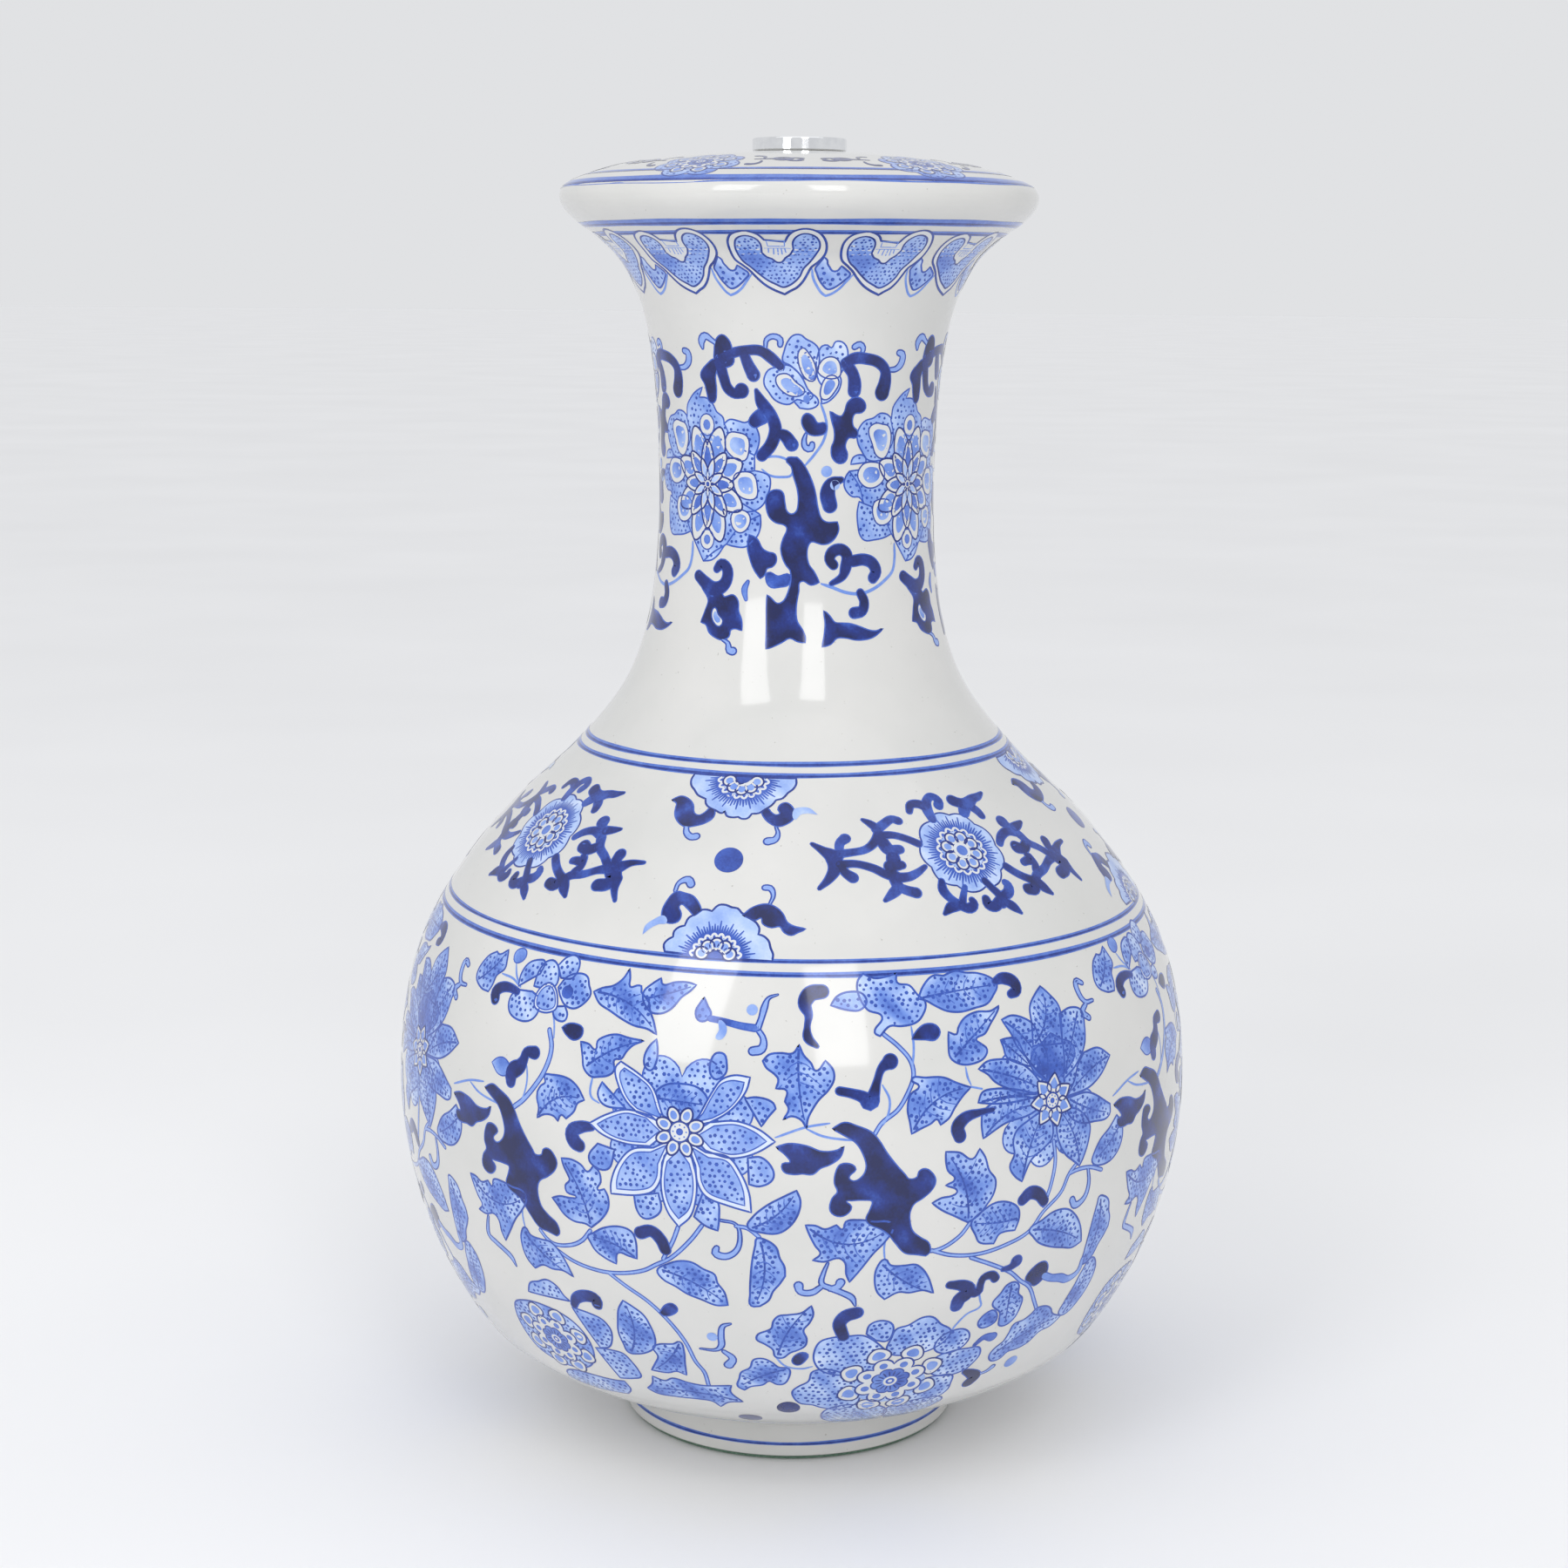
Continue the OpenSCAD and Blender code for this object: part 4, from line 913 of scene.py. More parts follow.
def ribs(plane, poly, level):
    """Midrib and side veins of a leaf, running to its furthest point."""
    k = float(plane.stretch(poly[:, 1].mean()))
    q = poly * [k, 1]
    middle = q.mean(0)
    far = np.argmax(np.hypot(*(q - middle).T))
    tip = q[far]
    tail = q[np.argmax(np.hypot(*(q - tip).T))]
    along_leaf = tip - tail
    size = np.hypot(*along_leaf)
    if size < SMALL_LEAF:
        return
    unit = along_leaf / size
    cross = np.array([-unit[1], unit[0]])
    width = 0.5 * np.ptp((q - middle) @ cross)
    bow = (middle - (tip + tail) / 2) @ cross
    t = np.linspace(0.06, 0.9, 12)
    mid = tail + np.outer(t, along_leaf) + np.outer(4 * t * (1 - t) * bow, cross)
    stroke(plane, "line", mid / [k, 1], np.linspace(0.7, 0.35, 12), level, VEIN_TONE)
    for i in range(VEINS):
        f = 0.2 + 0.6 * i / VEINS
        root = tail + along_leaf * f + 4 * f * (1 - f) * bow * cross
        reach = width * 0.62 * math.sin(math.pi * (0.25 + 0.6 * i / VEINS))
        for side in (-1, 1):
            end = root + side * cross * reach + unit * reach * 0.7
            bend = (root + end) / 2 + unit * reach * -0.12
            pts = np.array([root, bend, end])
            if inside(q, pts).all():
                stroke(plane, "line", pts / [k, 1], [0.45, 0.35, 0.25], level, VEIN_TONE - 0.1,
                       caps=False)


def draw_leaf(plane, text, values, rise):
    """A stippled leaf or lobe with an ink edge, and with veins where it is dark enough."""
    poly = loop(plane, text)
    centre = poly.mean(0)
    heart = (centre[0], centre[1], 4.0, 0.08)
    fill(plane, "wash", poly, 1 + rise, values[0] + 0.08, [heart], uneven=0.2)
    stipple(plane, poly, 1.5 + rise, 1.9, 0.52, 0.7)
    if values[0] > 0.3:
        ribs(plane, poly, 1.9 + rise)
    stroke(plane, "line", poly, 0.62, 1.7 + rise, 0.74, closed=True)


def draw_petal(plane, text, values, rise):
    """A stippled petal or flower with a thinner ink edge and no veins."""
    poly = loop(plane, text)
    fill(plane, "wash", poly, 1 + rise, values[0] + 0.08, uneven=0.14)
    stipple(plane, poly, 1.5 + rise, 1.9, 0.45, 0.7)
    stroke(plane, "line", poly, 0.5, 1.7 + rise, 0.72, closed=True)


def draw_seam(plane, text, values, rise):
    """The inner edge of a lobe that lies on a bigger flower."""
    rows, corners = read(text)
    flat = [plane.at(*r) for r in (rows[0], rows[-1])]
    middle = np.mean([plane.at(*r) for r in rows], axis=0)
    sag = (flat[0] + flat[1]) / 2 + ((flat[0] + flat[1]) / 2 - middle) * 0.55
    path = curve_through([flat[0], sag, flat[1]], [False] * 3, False)
    stroke(plane, "line", path, 0.45, 1.8 + rise, 0.72)


def draw_double(plane, text, values, rise):
    """A big petal with a pale margin inside its edge."""
    poly = loop(plane, text)
    centre = poly.mean(0)
    near = centre + (poly - centre) * 0.8
    fill(plane, "wash", poly, 2 + rise, 0.12, uneven=0.04)
    fill(plane, "wash", near, 2.9 + rise, 0.42, uneven=0.12)
    stipple(plane, near, 3.5 + rise, 1.9, 0.5, 0.6)
    stroke(plane, "line", near, 0.4, 3.6 + rise, 0.7, closed=True)
    stroke(plane, "line", poly, 0.55, 3.2 + rise, 0.74, closed=True)


def scallops(plane, c, rx, ry, lobes, turn=0.0, depth=0.16):
    """Outline of a flower with round lobes, rx by ry mm."""
    k = float(plane.stretch(c[1]))
    t = np.arange(lobes * 12) * TURN / (lobes * 12)
    r = 1 - depth + depth * np.abs(np.sin(lobes * (t - turn) / 2)) ** 0.7
    return c + np.stack([r * rx * np.cos(t) / k, r * ry * np.sin(t)], 1)


def white_petal(plane, centre, rx, ry, turn, level, tone, point):
    """A white petal with a blue heart: rx along it, ry across it, in mm."""
    rim = oval(plane, centre, rx, ry, turn, 22, point)
    heart = centre + (rim - centre) * 0.56
    fill(plane, "white", rim, level, BARE, uneven=0.01)
    stroke(plane, "line", rim, 0.56, level + 0.7, 0.86, closed=True)
    fill(plane, "wash", heart, level + 0.8, tone, uneven=0.06)


def petal_ring(plane, c, rx, ry, count, turn, distance, length, width, level, tone):
    """White petals round c, the ellipse rx by ry giving their scale."""
    k = float(plane.stretch(c[1]))
    for i in range(count):
        t = TURN * (i + turn) / count
        dx, dy = math.cos(t) * rx, math.sin(t) * ry
        where = c + [dx * distance / k, dy * distance]
        white_petal(plane, where, math.hypot(dx, dy) * length, rx * width, math.atan2(dy, dx),
                    level + 0.03 * i, tone, 0.25)


def draw_crown(plane, text, values, rise):
    """Tall flower with a star of narrow petals: angle, height, half width, half height, petals."""
    a, z, rx, ry, lobes = read(text, 5)[0][0]
    lobes = int(lobes)
    c = plane.at(a, z)
    petal_ring(plane, c, rx, ry, lobes, 0.5, 1.0, 0.5, 0.38, 2.9, 0.5)
    petal_ring(plane, c, rx, ry, lobes, 0.0, 0.66, 0.42, 0.27, 3.8, 0.62)
    fill(plane, "wash", scallops(plane, c, rx * 0.46, ry * 0.46, lobes), 5.4, 0.72, uneven=0.14)
    petal_ring(plane, c, rx, ry, lobes, 0.5, 0.36, 0.3, 0.15, 6, 0.3)
    disc(plane, "white", c, rx * 0.13, 7.4, BARE, sides=12)
    disc(plane, "wash", c, rx * 0.08, 8, 0.75, sides=8)


def draw_peony(plane, text, values, rise):
    """Round layered flower with a ringed eye: angle, height, half width, half height, petals."""
    a, z, rx, ry, lobes = read(text, 5)[0][0]
    lobes = int(lobes)
    c = plane.at(a, z)
    petal_ring(plane, c, rx, ry, lobes, 0.5, 1.24, 0.3, 0.34, 2.9, 0.5)
    rim = scallops(plane, c, rx * 1.02, ry * 1.02, lobes, 0.0, 0.26)
    fill(plane, "white", rim, 4.2, BARE, uneven=0.02)
    stroke(plane, "line", rim, 0.62, 4.8, 0.8, closed=True)
    for i in range(lobes):
        where = around(plane, c, TURN * (i + 0.5) / lobes, rx * 0.74, ry * 0.74)
        disc(plane, "wash", where, rx * 0.12, 5.0, 0.6, sides=14)
    inner = scallops(plane, c, rx * 0.56, ry * 0.56, lobes)
    fill(plane, "wash", inner, 5.6, 0.6, uneven=0.14)
    stroke(plane, "line", inner, 0.45, 6.2, 0.8, closed=True)
    for i in range(2 * lobes):
        t = TURN * (i + 0.5) / (2 * lobes)
        path = [around(plane, c, t, rx * d, ry * d) for d in (0.24, 0.34, 0.44)]
        stroke(plane, "line", path, [0.4, 0.5, 0.3], 6.4, 0.84, caps=False)
    disc(plane, "white", c, rx * 0.2, 6.8, BARE, sides=20)
    disc(plane, "wash", c, rx * 0.13, 7.4, 0.7, sides=16)
    disc(plane, "white", c, rx * 0.06, 8, 0.05, sides=12)


def draw_base(plane, text, values, rise):
    """Blue wash that the petals of a flower stand on."""
    a, z, r, lobes, depth = read(text, 5)[0][0]
    c = plane.at(a, z)
    poly = scallops(plane, c, r, r, int(lobes), 0, depth)
    fill(plane, "wash", poly, 0.5, values[0], [(c[0], c[1], r * 0.5, 0.15)], uneven=0.2)
    stipple(plane, poly, 0.8, 1.9, 0.5, 0.5)
    stroke(plane, "line", poly, 0.5, 0.9, 0.72, closed=True)


def draw_flower(plane, text, values, rise):
    """Ringed centre with short white petals: angle, height, ring radius, petals, petal length."""
    a, z, r, n, length = read(text, 5)[0][0]
    c = plane.at(a, z)
    for i in range(int(n)):
        t = TURN * (i + 0.5) / n
        where = around(plane, c, t, r + length / 2 - 0.2)
        white_petal(plane, where, length / 2, length * 0.38, t, 4.6 + 0.05 * i, 0.5, values[0])
    disc(plane, "white", c, r, 6.6, BARE, sides=24)
    stroke(plane, "line", oval(plane, c, r, r, 0.0, 24), 0.55, 7.2, 0.8, closed=True)
    for i in range(8):
        disc(plane, "dots", around(plane, c, TURN * i / 8, r * 0.66), 0.28, 7.3, 0.6, sides=6)
    disc(plane, "wash", c, r * 0.36, 7.4, 0.7, sides=12)


def rosette_inside(plane, c, first, last, reach, rise, lobes, count):
    """Radial strokes, pale arcs and small white lobes, over the angles first to last."""
    k = float(plane.stretch(c[1]))
    span = last - first
    for i in range(count):
        t = first + span * (i + 0.5) / count
        inner, outer = reach * 0.5, reach * (0.8 + 0.04 * (i % 2) + 0.08 * (i % 4 == 1))
        path = [around(plane, c, t, d) for d in np.linspace(inner, outer, 4)]
        stroke(plane, "line", path, [0.85, 0.75, 0.6, 0.35], 2.4 + rise, 0.7, caps=False)
    for i in range(2 * lobes):
        t = first + span * (i + 0.5) / (2 * lobes)
        bow = np.linspace(-0.9, 0.9, 7) * span / (4 * lobes)
        d = reach * (0.5 + 0.1 * np.cos(bow * 4 * lobes / span * 1.6))
        path = np.stack([c[0] + np.cos(t + bow) * d / k, c[1] + np.sin(t + bow) * d], 1)
        stroke(plane, "white", path, 0.7, 2.8 + rise, 0.04, caps=False)
    for i in range(lobes):
        t = first + span * (i + 0.5) / lobes
        where = around(plane, c, t, reach * 0.34)
        white_petal(plane, where, reach * 0.16, reach * 0.15, t, 3.6 + 0.05 * i, 0.45, 0.0)


def draw_rosette(plane, text, values, rise):
    """Half a rosette standing on (1) or hanging from (-1) a line."""
    a, z, way = values
    c = plane.at(a, z)
    poly = loop(plane, text)
    fill(plane, "wash", poly, 1 + rise, 0.3, uneven=0.12)
    stroke(plane, "line", poly, 0.65, 1.8 + rise, 0.82, closed=True)
    margin = 0.06
    first, last = (margin, math.pi - margin) if way > 0 else (-math.pi + margin, -margin)
    rosette_inside(plane, c, first, last, 12.6, rise, 5, 36)
    k = float(plane.stretch(c[1]))
    t = np.linspace(first, last, 16)
    for r, pigment, tone, level in ((3.3, "white", BARE, 5), (2.2, "navy", 0.75, 6)):
        arc = c + np.stack([r * np.cos(t) / k, r * np.sin(t)], 1)
        plane.add(pigment, arc, [tuple(range(16))], level, tone)


def full_rosette(plane, a, z, radius):
    """A whole rosette with nine scallops."""
    c = plane.at(a, z)
    k = float(plane.stretch(c[1]))
    t = np.arange(108) * TURN / 108
    r = radius * (1 + 0.085 * np.abs(np.sin(4.5 * t)) - 0.05)
    poly = c + np.stack([r * np.cos(t) / k, r * np.sin(t)], 1)
    fill(plane, "wash", poly, 1, 0.28, [(c[0] - 6, c[1], 6, 0.14)], uneven=0.12)
    stroke(plane, "line", poly, 0.55, 1.8, 0.8, closed=True)
    rosette_inside(plane, c, 0, TURN, radius, 0.0, 8, 72)
    disc(plane, "white", c, 2.8, 5, BARE, sides=20)
    disc(plane, "wash", c, 1.8, 6.2, 0.6, sides=16)


DRAW = {"blot": draw_blot, "trunk": draw_trunk, "blue": draw_blue, "brush": draw_brush,
        "hook": draw_hook, "line": draw_line, "vine": draw_vine, "white": draw_white,
        "core": draw_core, "spot": draw_spot, "lobe": draw_lobe, "leaf": draw_leaf,
        "petal": draw_petal, "peony": draw_peony, "crown": draw_crown, "base": draw_base,
        "seam": draw_seam, "double": draw_double, "flower": draw_flower, "rosette": draw_rosette}

# the bands, each with the turns in degrees at which it is repeated
PLANES = []
QUARTERS = (0, 90, 180, 270)


def ring(plane, height, width, tone, swing, phase, level):
    """A painted line all the way round, wandering a little up and down."""
    a = np.radians(np.linspace(-180, 180, 361))
    z = height + swing * np.sin(a - phase)
    path = np.stack([a * plane.radius, along(z)], 1)
    w = width * (1 + 0.1 * np.sin(a * 5 + height) + 0.06 * np.sin(a * 13 + 2 * height))
    stroke(plane, "line", path, w, level, tone, caps=False)


bands = Plane("bands", 100)
# painted rings as height, width, swing up and down, and where round the vase the swing starts
bands_at = [(387.6, 3.6, 0.4, 0.0), (390.3, 1.8, 0.25, 0.0), (375.5, 2.9, 0.4, 0.0),
            (372.7, 1.9, 0.3, 0.0), (220.6, 1.7, 0.2, 0.4), (217.7, 1.8, 0.2, 0.4),
            (172.1, 1.3, 0.5, 3.6), (168.7, 1.8, 0.6, 3.6), (5.4, 1.2, 0.1, 0.0)]
for height, width, swing, phase in bands_at:
    ring(bands, height, width, 0.62, swing, phase, 0.5)
    ring(bands, height - 0.1 * width, 0.4 * min(width, 2.2), 0.82, swing, phase, 1.2)
PLANES.append((bands, (0,)))

# heart border under the rim
HEARTS = 11
hearts = Plane("hearts", 55)
LAPPET = """
leaf .28: -27.5 362.5 -26.5 364 -25 365.8! -24 365 -23.8 364 -23 363 -22 362 -20.5 362 -19.3 363.4!
    -17.5 362.3 -16 361 -17.5 359.5 -19.5 358 -21.5 357 -23 356.8 -24.5 357.8 -26 359.5 -27 361.5
line .78: -28.5 362.5 -28 360 -26.5 357.5 -25 355.8 -23.5 354.9! -21.5 355.5 -19 357 -17 359 -15 361
"""
draw(hearts, LAPPET)
HEART = """-4.5 355.3! -8 356.5 -11 358 -13.5 360 -15.5 362 -17.5 363.5 -19.5 365 -20.3 368 -19.8
370.5 -18 372.2 -14 372.9 -11 372 -9.5 370.5! -3.8 370! -2.5 372 -.5 373.2 2 373.6 5 372.8 7 371 8
368.5 7.7 366.5 6 364.5 4 363 2.8 361 1.5 359 -.5 357.2 -2.5 356.3"""
HEART_BLUE = """-10.8 367! -10.8 369.5 -12 371 -14.5 371.7 -17 371 -18.3 369 -18.3 367 -17 364.5 -15
363 -12.5 361 -10 359.3 -7 358 -5 357.3 -3 357.8 -1 359 .5 360.5 1.5 362.5 3.5 364.5 5 366.5 6 368.5
5.5 370.5 4 371.8 1.5 372.3 -.5 371.5 -1.6 370 -1.5 368! -2.5 366.5 -4 365.5 -5 364.4 -6.5 364.3 -8
365.3 -9.5 365.8"""
edge = loop(hearts, HEART)
fill(hearts, "white", edge, 2.8, BARE, uneven=0.02)
stroke(hearts, "line", edge, 0.75, 3.6, 0.8, closed=True)
blue = loop(hearts, HEART_BLUE)
spots = [(*hearts.at(-15.5, 366), 3, 0.2), (*hearts.at(-12, 364), 3, 0.15),
         (*hearts.at(3, 368), 3, 0.1)]
fill(hearts, "wash", blue, 3.8, 0.4, spots, uneven=0.1)
stipple(hearts, blue, 4.6, 1.5, 0.42, 0.6)
stroke(hearts, "line", blue, 0.6, 4.8, 0.82, closed=True)
# the comb of short lines at the top of a heart, and the small box over it
for mark in ("-10 368.2 -2.3 368.2", "-8.7 368.2 -8.8 366.9", "-7.2 368.2 -7.3 366.6",
             "-6 368.2 -6 366.5", "-5 368.2 -4.8 366.6", "-4 368.2 -3.7 367",
             "-9 370.3! -4 370.3! -4 368.8! -8.8 368.8! -9 370.3!"):
    line(hearts, mark, 3.8, 0.4)
PLANES.append((hearts, tuple(k * 360 / HEARTS for k in range(HEARTS))))

neck = Plane("neck", 43)
draw(neck, NECK)
PLANES.append((neck, QUARTERS))

shoulder = Plane("shoulder", 95)
draw(shoulder, SHOULDER)
full_rosette(shoulder, 33.5, 197.3, 13.5)
PLANES.append((shoulder, QUARTERS))

# seven groups on the belly, in two kinds that take turns: three of the first, four of the second
PITCH = 720 / 7
THREE = (0, PITCH, -PITCH)
FOUR = (*THREE, -2 * PITCH)
for name, block, turns in (("belly_a", BELLY_A, THREE), ("belly_edge", BELLY_EDGE, FOUR),
                           ("belly_b", BELLY_B, FOUR)):
    belly = Plane(name, 122)
    draw(belly, block)
    PLANES.append((belly, turns))

dome = Plane("dome", 48)


def blossom(plane, a, z, r):
    """A stippled blossom with a layered heart."""
    c = plane.at(a, z)
    poly = scallops(plane, c, r, r, 8, 0.1, 0.2)
    fill(plane, "wash", poly, 1, 0.4, uneven=0.18)
    stipple(plane, poly, 1.5, 1.9, 0.45, 0.7)
    stroke(plane, "line", poly, 0.55, 1.8, 0.78, closed=True)
    draw_peony(plane, f"{a} {z} {r * 0.52} {r * 0.52} 8", (), 0)


def curl(plane, c, k, heading, bend, size, thick):
    """A curling stroke that leaves c and thickens towards its knob."""
    t = np.linspace(0, 1, 12)
    way = heading + bend * t ** 1.4
    x, y = np.cumsum(np.cos(way)) * size / 12, np.cumsum(np.sin(way)) * size / 12
    stroke(plane, "navy", c + np.stack([x / k, y], 1), thick * (0.45 + 0.75 * t), 2.2, 0.9)
    return c + [x[6] / k, y[6]]


def dome_spray(plane, a, side):
    """Branching twig with curls, on one side of a blossom."""
    c = plane.at(a, 393.0)
    k = float(plane.stretch(c[1]))
    lean = 0 if side > 0 else math.pi
    fork = curl(plane, c, k, lean + 0.25 * side, -0.5 * side, 10, 1.9)
    curl(plane, fork, k, lean + 1.1 * side, -2.6 * side, 7, 2.0)
    curl(plane, fork, k, lean - 0.9 * side, 2.4 * side, 7, 2.0)
    tip = c + [side * 9 / k, 0.4]
    curl(plane, tip, k, lean + 0.9 * side, -1.6 * side, 6, 1.7)
    curl(plane, tip, k, lean - 1.0 * side, 1.8 * side, 6, 1.7)
    for way in (1, -1):
        knee = c + [side * 3 / k, 1.5 * way]
        curl(plane, knee, k, lean + 1.4 * way * side, 1.9 * way * side, 6.5, 1.5)


# six blossoms on the dome, each between two sprays
for a in (-29, 37, 97, 155, 213, 272):
    blossom(dome, a, 392.3, 13)
    for side in (-1, 1):
        dome_spray(dome, a + 15 * side, side)
PLANES.append((dome, (0,)))


# ---------------------------------------------------------------- materials
def shade(name, roughness=0.5, metallic=0.0):
    """A new principled material with its node tree."""
    mat = bpy.data.materials.new(name)
    mat.use_nodes = True
    bsdf = mat.node_tree.nodes["Principled BSDF"]
    bsdf.inputs["Roughness"].default_value = roughness
    bsdf.inputs["Metallic"].default_value = metallic
    return mat, mat.node_tree, bsdf


def noise(tree, scale, detail=3.0, stretch=None):
    """Noise in the object's own space."""
    tex = tree.nodes.new("ShaderNodeTexNoise")
    tex.inputs["Scale"].default_value = scale
    tex.inputs["Detail"].default_value = detail
    where = tree.nodes.new("ShaderNodeTexCoord")
    out = where.outputs["Object"]
    if stretch:
        turn = tree.nodes.new("ShaderNodeMapping")
        turn.inputs["Scale"].default_value = stretch
        tree.links.new(out, turn.inputs["Vector"])
        out = turn.outputs["Vector"]
    tree.links.new(out, tex.inputs["Vector"])
    return tex.outputs["Fac"]


def ramp(tree, fac, stops):
    """Colours at places along a value."""
    node = tree.nodes.new("ShaderNodeValToRGB")
    tree.links.new(fac, node.inputs["Fac"])
    marks = node.color_ramp.elements
    while len(marks) < len(stops):
        marks.new(0.5)
    for mark, (place, colour) in zip(marks, stops):
        mark.position, mark.color = place, (*colour, 1)
    return node.outputs["Color"]


def bump(tree, bsdf, height, distance, strength=0.5):
    """Small relief, in metres."""
    node = tree.nodes.new("ShaderNodeBump")
    node.inputs["Strength"].default_value = strength
    node.inputs["Distance"].default_value = distance
    tree.links.new(height, node.inputs["Height"])
    tree.links.new(node.outputs["Normal"], bsdf.inputs["Normal"])


def maths(tree, kind, a, b):
    """Two values or sockets joined by an operation."""
    node = tree.nodes.new("ShaderNodeMath")
    node.operation = kind
    for socket, value in zip(node.inputs, (a, b)):
        if isinstance(value, (int, float)):
            socket.default_value = value
        else:
            tree.links.new(value, socket)
    return node.outputs["Value"]


def srgb(r, g, b):
    """A colour from 0 to 255 as linear light."""
    return tuple((c / 255 / 12.92) if c < 11 else ((c / 255 + 0.055) / 1.055) ** 2.4
                 for c in (r, g, b))


def gloss(bsdf):
    """The clear, hard shine of the glaze."""
    bsdf.inputs["Roughness"].default_value = 0.1
    bsdf.inputs["IOR"].default_value = 1.47
    bsdf.inputs["Coat Weight"].default_value = 0.3
    bsdf.inputs["Coat Roughness"].default_value = 0.03


def glaze_material():
    """Slightly cloudy grey-white glaze with a few specks."""
    mat, tree, bsdf = shade("clear_glaze")
    gloss(bsdf)
    cloud = ramp(tree, noise(tree, 22, 4), [(0.3, srgb(203, 203, 200)), (0.7, srgb(212, 211, 208))])
    speck = ramp(tree, noise(tree, 900, 1), [(0.76, (1, 1, 1)), (0.8, (0.62, 0.6, 0.58))])
    mix = tree.nodes.new("ShaderNodeMix")
    mix.data_type, mix.blend_type = "RGBA", "MULTIPLY"
    mix.inputs["Factor"].default_value = 0.7
    tree.links.new(cloud, mix.inputs[6])
    tree.links.new(speck, mix.inputs[7])
    tree.links.new(mix.outputs[2], bsdf.inputs["Base Color"])
    bump(tree, bsdf, noise(tree, 60, 2), 0.00025, 0.15)
    return mat


# colour of the cobalt by tone
INK = [(0.0, srgb(209, 209, 207)), (0.15, srgb(204, 217, 240)), (0.3, srgb(164, 188, 233)),
       (0.5, srgb(106, 140, 215)), (0.7, srgb(50, 86, 180)), (0.85, srgb(16, 42, 124)),
       (1.0, srgb(6, 20, 76))]


def ink_material(name, mottle):
    """Cobalt under the glaze: tone 0 is bare white, 1 is the darkest navy."""
    mat, tree, bsdf = shade(name)
    gloss(bsdf)
    tone = tree.nodes.new("ShaderNodeAttribute")
    tone.attribute_name = "tone"
    broad = maths(tree, "MULTIPLY", maths(tree, "SUBTRACT", noise(tree, 260, 3), 0.5), mottle)
    fine = maths(tree, "MULTIPLY", maths(tree, "SUBTRACT", noise(tree, 1400, 2), 0.5), mottle * 0.6)
    fac = maths(tree, "ADD", tone.outputs["Fac"], maths(tree, "ADD", broad, fine))
    tree.links.new(ramp(tree, fac, INK), bsdf.inputs["Base Color"])
    return mat


def metal(name, light, dark, rough, scale, stretch=None, relief=0.0):
    """Metal with a fine grain in two colours."""
    mat, tree, bsdf = shade(name, rough, 1.0)
    grain = noise(tree, scale, 4, stretch)
    tree.links.new(ramp(tree, grain, [(0.3, dark), (0.65, light)]), bsdf.inputs["Base Color"])
    worn = maths(tree, "ADD", maths(tree, "MULTIPLY", grain, rough), rough * 0.5)
    tree.links.new(worn, bsdf.inputs["Roughness"])
    if relief:
        bump(tree, bsdf, grain, relief, 0.3)
    return mat


def soft(name, light, dark, rough, scale, relief, sheen=0.0):
    """Rubber, plastic or felt with a fine grain."""
    mat, tree, bsdf = shade(name, rough)
    grain = noise(tree, scale, 6)
    tree.links.new(ramp(tree, grain, [(0.35, dark), (0.65, light)]), bsdf.inputs["Base Color"])
    bsdf.inputs["Sheen Weight"].default_value = sheen
    bump(tree, bsdf, grain, relief, 0.7)
    return mat


# ---------------------------------------------------------------- the porcelain
BODY_SEGMENTS = 360
ROD_HOLE_R = 6.5
RECESS_R = 44
RECESS_EDGE = 0.6
RECESS_TOP = 13
FLOOR_TOP = 20
FLOOR_R = 30
OUTLET_Z = 6.4


def turn_outwards(mesh):
    """Makes the faces of a closed mesh look outwards."""
    fix = bmesh.new()
    fix.from_mesh(mesh)
    bmesh.ops.recalc_face_normals(fix, faces=fix.faces)
    fix.to_mesh(mesh)
    fix.free()


def cut_hole(body, y0, y1, z, r0, r1):
    """Cuts a tapered round hole along Y through the foot ring."""
    n = 48
    verts = []
    for y, r in ((y0, r0), (y1, r1)):
        verts += [(r * math.cos(k * TURN / n) * MM, y * MM, (z + r * math.sin(k * TURN / n)) * MM)
                  for k in range(n)]
    faces = [tuple(range(n)), tuple(range(2 * n - 1, n - 1, -1))]
    faces += [(k, k + n, (k + 1) % n + n, (k + 1) % n) for k in range(n)]
    mesh = bpy.data.meshes.new("cutter")
    mesh.from_pydata(verts, [], faces)
    tool = bpy.data.objects.new("cutter", mesh)
    bpy.context.scene.collection.objects.link(tool)
    turn_outwards(mesh)
    cut = body.modifiers.new("hole", "BOOLEAN")
    cut.operation, cut.object, cut.solver = "DIFFERENCE", tool, "EXACT"
    bpy.context.view_layer.update()
    after = body.evaluated_get(bpy.context.evaluated_depsgraph_get())
    done = bpy.data.meshes.new_from_object(after)
    body.modifiers.remove(cut)
    body.data = done
    bpy.data.objects.remove(tool)


